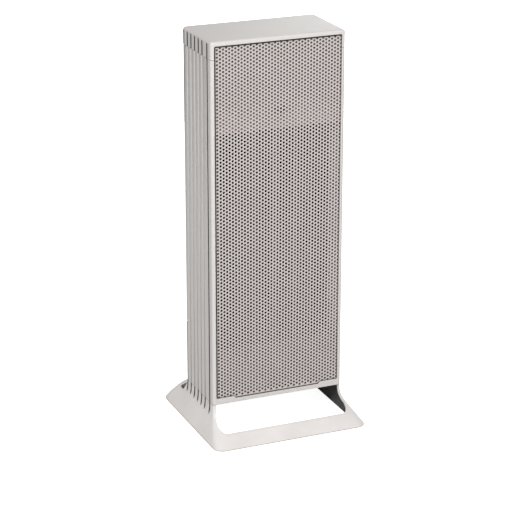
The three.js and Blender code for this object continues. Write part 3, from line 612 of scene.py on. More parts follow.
def end_point(x, z, rear):
    """The point of the front or rear wall at a distance x from the middle."""
    radius, side = stand_corner(z), half_width(z)
    past = max(abs(x) - (side - radius), 0)
    sink = radius - math.sqrt(max(radius ** 2 - past ** 2, 0))
    return (x, stand_rear(z) - sink if rear else stand_front(z) + sink, z)


def side_point(y, z):
    """The point of the right wall at y."""
    radius, side = stand_corner(z), half_width(z)
    past = max(y - (stand_rear(z) - radius), stand_front(z) + radius - y, 0)
    return (side - radius + math.sqrt(max(radius ** 2 - past ** 2, 0)), y, z)


def corner_path(y, z, rear, count):
    """Even steps from the window's edge round the corner to the side wall at y."""
    radius, side = stand_corner(z), half_width(z)
    wall = stand_rear(z) if rear else stand_front(z)
    sign = -1 if rear else 1
    centre = (side - radius, wall + sign * radius)
    start = end_point(window_edge(z), z, rear)
    last = side_point(y, z)
    first_angle = math.asin(min(max((start[0] - centre[0]) / radius, 0), 1))
    last_angle = math.acos(min(max(sign * (centre[1] - y) / radius, 0), 1))
    path = [Vector(start[:2])]
    for angle in evenly(first_angle, last_angle, CORNER_SAMPLES):
        path.append(Vector((centre[0] + radius * math.sin(angle),
                            centre[1] - sign * radius * math.cos(angle))))
    path.append(Vector(last[:2]))
    lengths = [0.0]
    for a, b in zip(path, path[1:]):
        lengths.append(lengths[-1] + (b - a).length)
    points = []
    for k in range(count + 1):
        want = lengths[-1] * k / count
        i = max(j for j in range(len(path) - 1) if lengths[j] <= want or j == 0)
        span = lengths[i + 1] - lengths[i]
        share = (want - lengths[i]) / span if span else 0
        spot = path[i].lerp(path[i + 1], share)
        points.append((spot.x, spot.y, z))
    return points


CORNER_STEPS = 14
SILL_STEPS = 4
BAR_STEPS = 22
STAND_GROOVE_DEPTH = 1.6
GROOVE_END, GROOVE_FULL = 27.9, 40.0
GROOVE_TIP = 0.12
GROOVE_OPENING = 2.2
# Across a groove, as (share of its half width, share of its depth).
GROOVE_PROFILE = [(-1, 0), (-0.72, 0.9), (-0.4, 1), (0, 1), (0.4, 1), (0.72, 0.9), (1, 0)]


def groove_shape(z):
    """(share of the width, depth) of a groove where it runs out on the flare."""
    share = min(max((z - GROOVE_END) / (GROOVE_FULL - GROOVE_END), 0), 1)
    width = GROOVE_TIP + (1 - GROOVE_TIP) * min(share * GROOVE_OPENING, 1)
    return width, STAND_GROOVE_DEPTH * share * share * (3 - 2 * share)


def across_groove(middle, z, profile):
    """Points across a groove at a height, by shares of its half width and its depth."""
    width, depth = groove_shape(z)
    half = GROOVE_WIDTH / 2 * width
    spots = [(side_point(middle + half * offset, z), share) for offset, share in profile]
    return [(x - depth * share, y, z) for (x, y, z), share in spots]


def side_columns(z):
    points = []
    for i, y in enumerate(ALL_GROOVES):
        if i:
            points.append(side_point(y - GROOVE_PITCH / 2 if i > 1 else (y + FRONT_GROOVE) / 2, z))
        points += across_groove(y, z, GROOVE_PROFILE)
    return points


def leg_row(z):
    """One row of the right leg, from the front window's edge to the rear one's."""
    width, _ = groove_shape(z)
    half = GROOVE_WIDTH / 2 * width
    front = corner_path(FRONT_GROOVE - half, z, False, CORNER_STEPS)
    rear = corner_path(REAR_GROOVE + half, z, True, CORNER_STEPS)
    return front[:-1] + side_columns(z) + rear[:-1][::-1]


def bar_row(z, sill, rear):
    """One row of a bar, from the right window edge to the left one, without its end points."""
    inner = window_edge(sill + WINDOW_CORNER) - WINDOW_CORNER
    near = evenly(window_edge(z), inner, SILL_STEPS)[1:]
    xs = near + evenly(inner, -inner, BAR_STEPS)[1:-1] + [-x for x in near[::-1]]
    return [end_point(x, z, rear) for x in xs]


SILLS = ((False, FRONT_SILL), (True, REAR_SILL))  # (is it the rear bar, its upper edge)


def stand_mesh():
    """The stand's outer skin: the two legs, the bars in front and behind, and the deck."""
    points, faces = [], []

    def put(new):
        points.extend(new)
        return list(range(len(points) - len(new), len(points)))

    def strip(low, high):
        faces.extend((low[i], low[i + 1], high[i + 1], high[i]) for i in range(len(low) - 1))

    right, left, bars = [], [], {False: {}, True: {}}
    for z in STAND_ROWS:
        row = leg_row(z)
        right.append(put(row))
        left.append(put([(-x, y, h) for x, y, h in row]))
        for rear, sill in SILLS:
            if z <= sill or (rear and z >= LINTEL):
                bars[rear][z] = put(bar_row(z, sill, rear))
    for k in range(len(STAND_ROWS) - 1):
        strip(right[k], right[k + 1])
        strip(left[k][::-1], left[k + 1][::-1])
        for rear, _ in SILLS:
            end = -1 if rear else 0
            low, high = (bars[rear].get(STAND_ROWS[k + i]) for i in (0, 1))
            if low and high:
                strip([right[k][end], *low, left[k][end]],
                      [right[k + 1][end], *high, left[k + 1][end]])
    for rear, sill in SILLS:
        end, corner = -1 if rear else 0, sill + WINDOW_CORNER
        rise = [k for k, z in enumerate(STAND_ROWS) if sill <= z <= corner][::-1]
        middle = window_edge(corner) - WINDOW_CORNER
        bend = arc(middle, corner, WINDOW_CORNER, 0, -90, len(rise) - 1 + SILL_STEPS)
        curve = [end_point(x, z, rear) for x, z in bend]
        for legs, flip in ((right, 1), (left, -1)):
            outer = [legs[k][end] for k in rise] + bars[rear][sill][::flip][:SILL_STEPS]
            inner = put([(flip * x, y, z) for x, y, z in curve[1:-1]])
            inner = [outer[0], *inner, outer[-1]]
            pairs = [(points[a], points[b]) for a, b in zip(outer, inner)][1:-1]
            half = put([end_point((a[0] + b[0]) / 2, (a[2] + b[2]) / 2, rear) for a, b in pairs])
            half = [outer[0], *half, outer[-1]]
            strip(outer, half)
            strip(half, inner)
    edge = window_edge(STAND_TOP)
    lip = put([(x, FRONT + DECK_SETBACK, STAND_TOP) for x in (-edge, edge)])
    faces.append(tuple(right[-1] + bars[True][STAND_TOP] + left[-1][::-1] + lip))
    faces = [tuple(dict.fromkeys(face)) for face in faces]
    return mesh_of(points, faces)


def solidified(mesh, thickness):
    """The open sheet made solid, inwards from its face."""
    def setup(ob):
        solid = ob.modifiers.new("solid", "SOLIDIFY")
        solid.thickness, solid.offset = thickness * MM, -1
    return baked(mesh, setup)


CORD_HOLE = rounded([(47, 43), (71.5, 27.5), (59.5, 26.5)], 1.2)
OUTLET_MIDDLE = (61.1, 30)


def outlet_outline(shrink):
    """The cord outlet's outline as (y, z), shrunk towards its middle."""
    middle = Vector(OUTLET_MIDDLE)
    return [tuple(middle + (Vector(p) - middle) * shrink) for p in CORD_HOLE]


def pierced(mesh, outline):
    """The open sheet with a convex hole, given as (y, z), through its left wall."""
    low = [min(p[k] for p in outline) * MM for k in (0, 1)]
    high = [max(p[k] for p in outline) * MM for k in (0, 1)]
    edges = [(Vector((0, *a)) * MM, Vector((0, b[0] - a[0], b[1] - a[1])).cross((1, 0, 0)))
             for a, b in zip(outline, outline[1:] + outline[:1])]
    middle = sum((start for start, _ in edges), Vector()) / len(edges)

    def near(face):
        spots = [v.co for v in face.verts]
        return all(co.x < 0 for co in spots) and all(
            min(co[k + 1] for co in spots) < high[k] and
            max(co[k + 1] for co in spots) > low[k] for k in (0, 1))

    def inside(face):
        spot = face.calc_center_median()
        return near(face) and all((spot - start).dot(across) * (middle - start).dot(across) > 0
                                  for start, across in edges)

    def change(work):
        for start, across in edges:
            faces = list(filter(near, work.faces))
            parts = dict.fromkeys(part for f in faces for part in (*f.verts, *f.edges))
            bmesh.ops.bisect_plane(work, geom=[*faces, *parts], dist=1e-8, plane_co=start,
                                   plane_no=across)
        bmesh.ops.delete(work, geom=list(filter(inside, work.faces)), context="FACES")

    return edited(mesh, change)


stand = solidified(pierced(stand_mesh(), outlet_outline(1)), STAND_WALL)
piece("stand", softened(stand, 0.45, angle=50), "casing", ["base_skirt"])

# ---- painted shade: dark linings in the grooves' run-outs ----
SHADE_LINING_ROWS = [29, 30.5, 32, 34, 36, 38, 40, 42, STAND_TOP - GAP]
SHADE_LINING_OUTER = [(-0.93, 0.12), (-0.62, 0.75), (0, 0.85), (0.62, 0.75), (0.93, 0.12)]
SHADE_LINING_INNER = [(0.99, 0.17), (0.75, 1.0), (-0.75, 1.0), (-0.99, 0.17)]


def groove_tip_shade(y):
    """A dark lining put in a groove where it runs out on the stand's flare, standing in for the shade
    there.
    """
    return ring_stack([across_groove(y, z, SHADE_LINING_OUTER + SHADE_LINING_INNER) for z in SHADE_LINING_ROWS])


groove_tip_shades = creased(joined([groove_tip_shade(y) for y in ALL_GROOVES]), 40)
# Dark pieces standing in for the shade in the grooves' run-outs.
piece("groove_tip_shades_right", groove_tip_shades, "black_plastic")
piece("groove_tip_shades_left", mirrored(groove_tip_shades), "black_plastic")

LINER_THICKNESS = 1.6
LINER_SPREAD = 10
LINER_FLANGE, FLANGE_TOP = 4.5, 4
LINER_MARGIN = 1.2
LINER_ROWS = [2, 3, 4.5, 6.5, 8.5, 11, 13.5, 16, 18.5, 20.5, 22.5, 24.5, 26.5, 29, 32, 35, 38, 42.2]


def liner():
    """The dark lining plate inside the right leg, with its flange along the floor."""
    rings = []
    for z in LINER_ROWS:
        face = SIDE - WINDOW_MARGIN + LINER_SPREAD * flare(FRONT_CURVE, z)
        above = z + 0.5
        out = min(face + LINER_THICKNESS, half_width(above) - STAND_WALL - GAP)
        out += LINER_FLANGE if z < FLANGE_TOP else 0
        front = stand_front(above) + STAND_WALL + LINER_MARGIN
        rear = stand_rear(above) - STAND_WALL - LINER_MARGIN
        steps = evenly(front, rear, 12)
        rings.append([(out, y, z) for y in steps] + [(face, y, z) for y in steps[::-1]])
    return softened(ring_stack(rings), 0.3, angle=50)


liner_right = liner()
piece("liner_right", liner_right, "black_plastic", ["base_liner_right"])
liner_left = combine(mirrored(liner_right), [prism("x", outlet_outline(1), -STAND_HALF, 0)])
piece("liner_left", liner_left, "black_plastic", ["base_liner_left"])

# ---- feet and cord outlet ----
TREADS, TREAD_PITCH, TREAD_HALF, TREAD_DEPTH = 5, 3.4, 0.3, 0.4

for end in ("front", "rear"):
    for side in ("left", "right"):
        name = f"foot_{end}_{side}"
        (x0, y0, z0), (x1, y1, z1) = size_of(name)
        pad = prism("z", slot_outline((x1 - x0) / 2, (y1 - y0) / 2, centre_of(name)[:2]), z0, z1)
        rows = [y0 + TREAD_PITCH * k for k in range(1, TREADS + 1)]
        treads = [block((x0 - 1, x1 + 1), (y - TREAD_HALF, y + TREAD_HALF),
                        (z0 - 1, z0 + TREAD_DEPTH)) for y in rows]
        piece("pad_" + name, softened(combine(pad, [joined(treads)]), 0.12), "rubber", [name])

PLUG_SHARE, LIP_SHARE = 0.88, 0.91
LIP_THICKNESS = 0.9
CORD_RADIUS = 2.2


def grommet():
    """A rubber plug with a lip, and the cord's hole through it."""
    (x0, _, _), (x1, _, _) = size_of("cord_grommet")
    plug = prism("x", outlet_outline(PLUG_SHARE), x0, x1)
    lip = prism("x", outlet_outline(LIP_SHARE), x0, x0 + LIP_THICKNESS)
    hole = disc("x", OUTLET_MIDDLE, CORD_RADIUS, x0 - 2, x1 + 2, 24)
    return softened(combine(combine(plug, [lip], "UNION"), [hole]), 0.2)


piece("outlet_grommet", grommet(), "rubber", ["cord_grommet"])


# ---- screws ----
# The head from its rim up, as (share of the radius, share of the height).
HEAD_PROFILE = [(1, 0), (1, 0.2), (0.93, 0.55), (0.75, 0.82), (0.45, 0.97), (0.12, 1)]
REAR_HEAD, BASE_HEAD = 1.6, 2.2
REAR_SHANK, BASE_SHANK = 1.6, 1.8
REAR_SHANK_LENGTH = 9
SCREW_NUMBERS = range(1, 5)


def pan_head_screw(radius, height, shank_radius, shank_length):
    """A cross-recess screw along +Z with its head's flat underside at the origin."""
    def ring(size, z):
        return [(x, y, z) for x, y in arc(0, 0, size, 0, 360, 28)[:-1]]

    tip, neck = 1.2 - shank_length, -0.01
    shank = [ring(shank_radius * r, z) for r, z in ((0.5, -shank_length), (1, tip), (1, neck))]
    head = [ring(radius * r, height * z) for r, z in HEAD_PROFILE]
    half, arm, depth = radius * 0.13, radius * 0.55, (height * 0.35, height + 1)
    cross = [block((-arm, arm), (-half, half), depth), block((-half, half), (-arm, arm), depth)]
    return softened(combine(ring_stack(shank + head), cross), 0.08, angle=40)


for number in SCREW_NUMBERS:
    node = f"rear_screw_{number}"
    (x0, _, _), (x1, y1, _) = size_of(node)
    x, _, z = centre_of(node)
    screw = pan_head_screw((x1 - x0) / 2, REAR_HEAD, REAR_SHANK, REAR_SHANK_LENGTH)
    piece("screw_" + node, moved(screw, (x, y1 - REAR_HEAD, z), -90), "zinc_steel", [node])
    node = f"base_screw_{number}"
    (x0, _, z0), (x1, _, z1) = size_of(node)
    x, y, _ = centre_of(node)
    screw = pan_head_screw((x1 - x0) / 2, BASE_HEAD, BASE_SHANK, z1 - z0 - BASE_HEAD)
    piece("screw_" + node, moved(screw, (x, y, z0 + BASE_HEAD), 180), "zinc_steel", [node])


# ---- ribbed side panels ----
PANEL_DEPTH = 1.6
JOINT_DEPTH = 2.3
DRAFT = 0.5
BOSS_INSIDE, BOSS_FRONT, BOSS_HALF = 81, 36, 5
BOSS_HEIGHTS = (75, 500)


def panel_outline():
    """The panel in plan: its grooves, and the ledge of the joint with the bezel."""
    floor, ledge, half = SIDE - PANEL_DEPTH, SIDE - JOINT_DEPTH, GROOVE_WIDTH / 2
    front, rear = FRONT_GROOVE - 0.5, panel_high[1]
    corners = [(ledge, front), (ledge, FRONT_GROOVE + half - DRAFT), (SIDE, FRONT_GROOVE + half)]
    for y in GROOVES[:-1]:
        low, high = y - half, y + half
        corners += [(SIDE, low), (floor, low + DRAFT), (floor, high - DRAFT), (SIDE, high)]
    corners += [(SIDE, REAR_GROOVE - half), (floor, REAR_GROOVE - half + DRAFT), (floor, rear)]
    corners += [(PANEL_INSIDE, rear), (PANEL_INSIDE, front)]
    return rounded(corners, 0.45, 3)


panel = prism("z", panel_outline(), panel_low[2], panel_high[2])
bosses = [block((BOSS_INSIDE, PANEL_INSIDE + 0.4), (BOSS_FRONT, panel_high[1]),
                (z - BOSS_HALF, z + BOSS_HALF)) for z in BOSS_HEIGHTS]
panel = softened(combine(panel, [joined(bosses)], "UNION"), 0.15, angle=50)
piece("ribbed_panel_right", panel, "casing", ["side_panel_right"])
piece("ribbed_panel_left", mirrored(panel), "casing", ["side_panel_left"])


# ---- front bezel ----
NOTCH_HALF, NOTCH_DEPTH = 62, 3
OPENING_CORNER = 2.2


def bezel():
    """The front frame with its side returns: a U-shaped plate with rounded outer edges."""
    back = FRONT_GROOVE - GROOVE_WIDTH / 2
    low, high = bezel_low[2], bezel_high[2]
    notch, radius = RAIL_TOP - NOTCH_DEPTH, OPENING_CORNER
    half = [(0, notch), (NOTCH_HALF, notch), (NOTCH_HALF + NOTCH_DEPTH, RAIL_TOP)]
    half += arc(OPENING_HALF - radius, RAIL_TOP + radius, radius, -90, 0, 6)
    half += [(OPENING_HALF, high), (SIDE, high), (SIDE, low)]
    outline = half + [(-x, z) for x, z in half[::-1][:-1]]
    frame_plate = prism("y", outline, FRONT, FRONT + WALL)
    returns = [block(x, (FRONT + 1, back), (low, high))
               for x in ((SIDE - WALL, SIDE), (-SIDE, WALL - SIDE))]
    whole = combine(frame_plate, [joined(returns)], "UNION")
    corner = arc(SIDE - BODY_CORNER, FRONT + BODY_CORNER, BODY_CORNER, -90, 0, 10)
    plan = corner + [(SIDE, back + 1), (-SIDE, back + 1)] + [(-x, y) for x, y in corner[::-1]]
    return combine(whole, [prism("z", plan, low - 1, high + 1)], "INTERSECT")


piece("bezel", softened(bezel(), 0.45, segments=3, angle=35, clamp=False), "casing", ["front_bezel"])

# ---- perforated grille ----
HOLE_PITCH, HOLE_RADIUS, HOLE_SIDES = 5.0, 1.75, 8
SHEET = 0.6
HOLE_COLUMNS, HOLE_ROWS = 43, 99
COLUMN_PITCH = HOLE_PITCH * math.sqrt(3) / 2
TOP_HOLE = 545.4
GRILLE_FOOT = 0.6
# The faces round a hole, as (corners of the cell's border, corners of the hole).
CELL_FACES = [((0, 1), (0,)), ((1, 2), (2, 1, 0)), ((2, 3), (3, 2)), ((3, 4), (4, 3)),
              ((4, 5), (6, 5, 4)), ((5, 0), (7, 6)), ((0,), (0, 7))]


def grille():
    """Perforated sheet: staggered columns of holes, each in a cell with six border points."""
    front, back = grille_low[1], grille_low[1] + SHEET
    half_cell, half_pitch = COLUMN_PITCH / 2, HOLE_PITCH / 2
    last = TOP_HOLE - HOLE_PITCH * (HOLE_ROWS - 1)
    top, bottom = TOP_HOLE + HOLE_PITCH, last - half_pitch
    points, index, faces = [], {}, []

    def at(x, z):
        key = (round(x, 3), round(z, 3))
        if key not in index:
            index[key] = len(points)
            points.extend([(x, front, z), (x, back, z)])
        return index[key]

    def sheet(outline):
        faces.append(tuple(outline))
        faces.append(tuple(i + 1 for i in reversed(outline)))

    def wall(outline):
        for a, b in zip(outline, outline[1:] + outline[:1]):
            faces.append((b, a, a + 1, b + 1))

    angles = [math.radians(360 / HOLE_SIDES * (k + 0.5)) for k in range(HOLE_SIDES)]
    for i in range(HOLE_COLUMNS):
        x = (i - (HOLE_COLUMNS - 1) / 2) * COLUMN_PITCH
        left, right = x - half_cell, x + half_cell
        even = (i + 1) % 2
        for j in range(HOLE_ROWS):
            z = TOP_HOLE - HOLE_PITCH * (j - 0.5 * even)
            low, high = z - half_pitch, z + half_pitch
            hole = [at(x + HOLE_RADIUS * math.cos(t), z + HOLE_RADIUS * math.sin(t)) for t in angles]
            border = [at(right, z), at(right, high), at(left, high),
                      at(left, z), at(left, low), at(right, low)]
            for outer, inner in CELL_FACES:
                sheet([border[k] for k in outer] + [hole[k] for k in inner])
            wall(hole[::-1])
        low = bottom if even else top - half_pitch
        sheet([at(right, low), at(right, low + half_pitch), at(left, low + half_pitch), at(left, low)])
    edge_x, low_z, high_z = grille_high[0], bottom - GRILLE_FOOT, grille_high[2]
    inner_x = HOLE_COLUMNS * half_cell
    count = round((top - bottom) / half_pitch)
    steps = [bottom + half_pitch * k for k in range(count + 1)]
    xs = [-inner_x + COLUMN_PITCH * k for k in range(HOLE_COLUMNS + 1)]
    for low, high in zip(steps, steps[1:]):
        for a, b in ((edge_x, inner_x), (-inner_x, -edge_x)):
            sheet([at(a, low), at(a, high), at(b, high), at(b, low)])
    across = [-edge_x, *xs, edge_x]
    for z, far in ((top, high_z), (bottom, low_z)):
        for a, b in zip(across, across[1:]):
            quad = [at(a, z), at(b, z), at(b, far), at(a, far)]
            sheet(quad if far > z else quad[::-1])
    border = [at(x, low_z) for x in across] + [at(edge_x, z) for z in steps]
    border += [at(x, high_z) for x in across[::-1]] + [at(-edge_x, z) for z in steps[::-1]]
    wall(border)
    return mesh_of(points, faces)


piece("perforated_grille", creased(grille(), 50), "grille_steel", ["front_grille"])

SHADOW_STRIP_LEFT, SHADOW_STRIP_TOP = 2.7, 2.3
SHADOW_STRIP_GAP, SHADOW_STRIP_PROUD = 0.05, 0.45


def grille_shadow_strip():
    """A dark strip standing in for the shadow that the frame casts on the grille, along its left and
    top edges.
    """
    left, right, top = -OPENING_HALF + SHADOW_STRIP_GAP, OPENING_HALF - SHADOW_STRIP_GAP, OPENING_TOP - SHADOW_STRIP_GAP
    low, inner, under = RAIL_TOP + 1, left + SHADOW_STRIP_LEFT, top - SHADOW_STRIP_TOP
    outline = [(left, low), (inner, low), (inner, under), (right, under), (right, top), (left, top)]
    face = grille_low[1]
    return softened(prism("y", outline, face - SHADOW_STRIP_PROUD, face + SHADOW_STRIP_GAP), 0.15)


# Painted shadow: a dark strip along the grille's left and top edges.
piece("grille_shadow_strip", grille_shadow_strip(), "black_plastic")


# ---- top cap ----
CAP_EDGE = 3.5
CAP_ROOF = 3
CAP_GROOVE_DEPTH, CAP_GROOVE_WALL = 3.5, 1.5
HOLLOW_FRONT, SEAT_DEPTH = 8, 9


def plan_ring(x_half, y_front, y_rear, radius, z):
    """A rounded rectangle in plan, at a height."""
    corners = [(x_half, y_rear), (-x_half, y_rear), (-x_half, y_front), (x_half, y_front)]
    ring = []
    for i, (x, y) in enumerate(corners):
        centre = (x - math.copysign(radius, x), y - math.copysign(radius, y))
        ring += [(a, b, z) for a, b in arc(*centre, radius, 90 * i, 90 * i + 90, 8)]
    return ring


def arch(y, half, bottom, top):
    """A slot with a round top and a square foot, as (y, z)."""
    return arc(y, top - half, half, 0, 180, 10) + [(y - half, bottom), (y + half, bottom)]


def cap():
    """The top cap: rounded above, hollow below, with the opening's top and the side slots."""
    rings = [plan_ring(SIDE, FRONT, REAR, BODY_CORNER, SEAM)]
    for angle in evenly(0, math.pi / 2, 8):
        inset = CAP_EDGE * (1 - math.cos(angle))
        z = TOP - CAP_EDGE * (1 - math.sin(angle))
        radius = max(BODY_CORNER - inset, 0.5)
        rings.append(plan_ring(SIDE - inset, FRONT + inset, REAR - inset, radius, z))
    side, front, under = SIDE - CAP_GROOVE_DEPTH - CAP_GROOVE_WALL, FRONT + WALL, SEAM - 5
    hollow = block((-side, side), (front + HOLLOW_FRONT, REAR - WALL), (under, TOP - CAP_ROOF))
    seat = block((-SIDE + WALL, SIDE - WALL), (front, front + SEAT_DEPTH),
                 (under, OPENING_TOP + 2 * GAP))
    radius = OPENING_CORNER
    opening = [(-OPENING_HALF, under), (OPENING_HALF, under)]
    opening += arc(OPENING_HALF - radius, OPENING_TOP - radius, radius, 0, 90, 6)
    opening += arc(-OPENING_HALF + radius, OPENING_TOP - radius, radius, 90, 180, 6)
    mouth = prism("y", opening, FRONT - 5, front + 1)
    slots = [prism("x", arch(y, GROOVE_WIDTH / 2, under, TOP - CAP_EDGE), SIDE - CAP_GROOVE_DEPTH,
                   SIDE + 10) for y in ALL_GROOVES]
    slots = joined(slots + [mirrored(s) for s in slots])
    solid = ring_stack(rings)
    for cutter in (hollow, seat, mouth, slots):
        solid = combine(solid, [cutter])
    return solid


piece("cap", softened(cap(), 0.4, angle=40, clamp=False), "casing", ["top_cap"])

SHADE_LINING_WALL = 0.5
SHADE_LINING_SINK = 0.2
SHADE_LINING_LAP = 0.1
# The dark strip of painted shade in the joint beside the bezel, as (depth below the side, y from the
# groove's middle).
STRIP_OUTLINE = [(3.3, -4.0), (2.6, -4.0), (2.6, -2.1), (2.0, -1.6), (1.8, -0.4),
                 (SHADE_LINING_SINK, 1.5), (SHADE_LINING_SINK + 0.2, 2.2), (2.3, 1.4), (2.5, -0.6), (3.3, -1.0)]


def slot_shade_tub(y):
    """A dark tub put in one slot of the cap, standing in for the shade in the slot."""
    half, floor = GROOVE_WIDTH / 2 + SHADE_LINING_LAP, SIDE - CAP_GROOVE_DEPTH
    bottom, top = SEAM + 0.2, TOP - CAP_EDGE + SHADE_LINING_LAP
    tub = prism("x", arch(y, half, bottom, top), floor - SHADE_LINING_LAP, SIDE - SHADE_LINING_SINK)
    room = prism("x", arch(y, half - SHADE_LINING_WALL, bottom - 1, top - SHADE_LINING_WALL),
                 floor + SHADE_LINING_WALL, SIDE + 1)
    return softened(combine(tub, [room]), 0.1, segments=1)


def joint_shade_lining():
    """The dark strip that closes the joint between the bezel and a side panel, standing in for the
    shade in the gap.
    """
    outline = [(SIDE - depth, FRONT_GROOVE + y) for depth, y in STRIP_OUTLINE]
    return softened(prism("z", outline, bezel_low[2] + 0.4, SEAM - 0.4), 0.1, segments=1)


# Dark tubs and strips stand in for the shade in the cap's slots and the side joints.
slot_shade_tubs = joined([slot_shade_tub(y) for y in ALL_GROOVES])
joint_shade_strip = joint_shade_lining()
for side, turned in (("right", lambda mesh: mesh), ("left", mirrored)):
    piece(f"slot_shade_tubs_{side}", turned(slot_shade_tubs), "black_plastic")
    piece(f"joint_shade_strip_{side}", turned(joint_shade_strip), "black_plastic")


# ---- rear covers, door and filter ----
DISH_RADIUS, DISH_DEPTH = 4.4, 0.5
GRIP_HALF, GRIP_WIDTH_HALF, GRIP_DEPTH = 26, 1.1, 0.8
GRIP_HEIGHTS = (452, 458, 464, 470)
SWITCH_HOLE = (10.3, 7.3)  # half sizes


def rear_outline():
    """A rear cover in plan, with the casing's rounded corners."""
    right = [p for p in arc(SIDE - BODY_CORNER, REAR - BODY_CORNER, BODY_CORNER, 0, 90, 12)
             if p[1] > REAR - WALL]
    half = [(SIDE - 0.4, REAR - WALL), *right]
    return half + [(-x, y) for x, y in half[::-1]]


def rear_cover(node):
    """A rear cover with dished screw places, and the finger grips or the switch's hole."""
    low, high = (corner[2] for corner in size_of(node))
    screws = [centre_of(f"rear_screw_{number}") for number in SCREW_NUMBERS]
    cutters = [disc("y", (x, z), DISH_RADIUS, REAR - DISH_DEPTH, REAR + 1)
               for x, _, z in screws if low < z < high]
    if node == "rear_cover_upper":
        cutters += [prism("y", slot_outline(GRIP_HALF, GRIP_WIDTH_HALF, (0, z)),
                          REAR - GRIP_DEPTH, REAR + 1) for z in GRIP_HEIGHTS]
    else:
        x, _, z = centre_of("power_rocker")
        cutters.append(prism("y", rectangle(*SWITCH_HOLE, (x, z), 0.6), REAR - 5, REAR + 1))
    cover = combine(prism("z", rear_outline(), low, high), [joined(cutters)])
    return softened(cover, 0.35, angle=40, clamp=False)


piece("rear_cover_low", rear_cover("rear_cover_lower"), "casing", ["rear_cover_lower"])
piece("rear_cover_high", rear_cover("rear_cover_upper"), "casing", ["rear_cover_upper"])

DOOR_SLOTS = 22
DOOR_MARGIN = 14
SLOT_SPANS = [(-82, -4), (4, 82)]
SLOT_HALF = 2.8
# The finger pull, as (x, height above the top edge).
PULL_OUTLINE = [(-14, 1), (-14, -4.5), (-11.5, -7), (11.5, -7), (14, -4.5), (14, 1)]
PULL_DEPTH = 1.2


def door():
    """The intake door, round along its pivot, with louvre slots and a finger pull."""
    half = (door_high[1] - door_low[1]) / 2
    y, pivot, top = centre_of("intake_door")[1], door_low[2] + half, door_high[2]
    outline = arc(y, pivot, half, 180, 360, 10) + [(y + half, top), (y - half, top)]
    plate = prism("x", outline, door_low[0], door_high[0])
    cutters = []
    for z in evenly(pivot + DOOR_MARGIN, top - DOOR_MARGIN, DOOR_SLOTS - 1):
        for x0, x1 in SLOT_SPANS:
            shape = slot_outline((x1 - x0) / 2, SLOT_HALF, ((x0 + x1) / 2, z))
            cutters.append(prism("y", shape, y - 5, y + 5))
    pull = [(x, top + z) for x, z in PULL_OUTLINE]
    cutters.append(prism("y", pull, y + half - PULL_DEPTH, y + 5))
    return softened(combine(plate, [joined(cutters)]), 0.3, angle=40, clamp=False)


piece("louvre_door", door(), "casing", ["intake_door"], "door")

FILTER_PITCH = 3.0
FILTER_BORDER = 4
WIRE = 0.45
BAR_HALF = 1.2


def filter_net():
    """The filter's rim and bars with a net of fine wires."""
    (x0, y0, z0), (x1, y1, z1) = size_of("dust_filter")
    x, middle, z = centre_of("dust_filter")
    outer = prism("y", rectangle((x1 - x0) / 2, (z1 - z0) / 2, (x, z), 4), y0, y1)
    left, right, low, high = (x0 + FILTER_BORDER, x1 - FILTER_BORDER,
                              z0 + FILTER_BORDER, z1 - FILTER_BORDER)
    inner = prism("y", rectangle((right - left) / 2, (high - low) / 2, (x, z), 3), y0 - 1, y1 + 1)
    parts = [softened(combine(outer, [inner]), 0.3, clamp=False)]
    upright, across = (low - 1, high + 1), (left - 1, right + 1)
    for x in evenly(left, right, round((right - left) / FILTER_PITCH))[1:-1]:
        parts.append(disc("z", (x, middle + WIRE / 2), WIRE / 2, *upright, 6))
    for z in evenly(low, high, round((high - low) / FILTER_PITCH))[1:-1]:
        parts.append(disc("x", (middle - WIRE / 2, z), WIRE / 2, *across, 6))
    for x in evenly(x0, x1, 4)[1:-1]:
        parts.append(block((x - BAR_HALF, x + BAR_HALF), (y0 + 0.1, y1 - 0.1), upright))
    return joined(parts)


piece("filter_net", filter_net(), "filter_mesh", ["dust_filter"], "door")


# ---- mains switch ----
BODY_HALVES, FLANGE_HALVES, WELL_HALVES = (10, 7), (13, 10), (8.5, 5.5)
switch_rear, switch_face = (corner[1] for corner in size_of("switch_housing"))
switch_x, _, switch_z = centre_of("switch_housing")


def switch_frame():
    """The switch's body and flange, with a well for the rocker."""
    def part(halves, radius, start, end):
        return prism("y", rectangle(*halves, (switch_x, switch_z), radius), start, end)

    body = part(BODY_HALVES, 0.8, switch_rear, switch_face - 0.5)
    flange = part(FLANGE_HALVES, 2, switch_face - 1.4, switch_face)
    well = part(WELL_HALVES, 0.5, switch_rear + 8, switch_face + 1)
    return softened(combine(combine(body, [flange], "UNION"), [well]), 0.3, clamp=False)


piece("switch_frame", switch_frame(), "black_plastic", ["switch_housing"])

ROCKER_AXIS_Y = 47
OFF_TILT = -8
ROCKER_HALF, ROCKER_ARM = 8.2, 4.2
ROCKER_FACE, ROCKER_DISH = 6.2, 1.0
ROCKER_BACK = [(-1.6, 3), (-1.6, -3)]
MARK_FOOT = 4.9


def rocker():
    """The dished rocker cap with a raised bar and ring on its two halves."""
    (x0, _, _), (x1, _, _) = size_of("power_rocker")
    curve = [(ROCKER_FACE - ROCKER_DISH * (1 - (z / ROCKER_ARM) ** 2), z)
             for z in evenly(-ROCKER_ARM, ROCKER_ARM, 12)]
    body = prism("x", curve + ROCKER_BACK, -ROCKER_HALF, ROCKER_HALF)
    pin = disc("x", (0, 0), 1.2, x0 - switch_x, x1 - switch_x, 16)
    bar = block((-0.25, 0.25), (MARK_FOOT, 6.05), (1.6, 3.4))
    ring = combine(disc("y", (0, -2.5), 0.95, MARK_FOOT, 6.0, 24),
                   [disc("y", (0, -2.5), 0.6, 4, 7, 24)])
    whole = joined([softened(combine(body, [pin], "UNION"), 0.2, clamp=False), bar, ring])
    return moved(whole, (switch_x, ROCKER_AXIS_Y, switch_z), OFF_TILT)


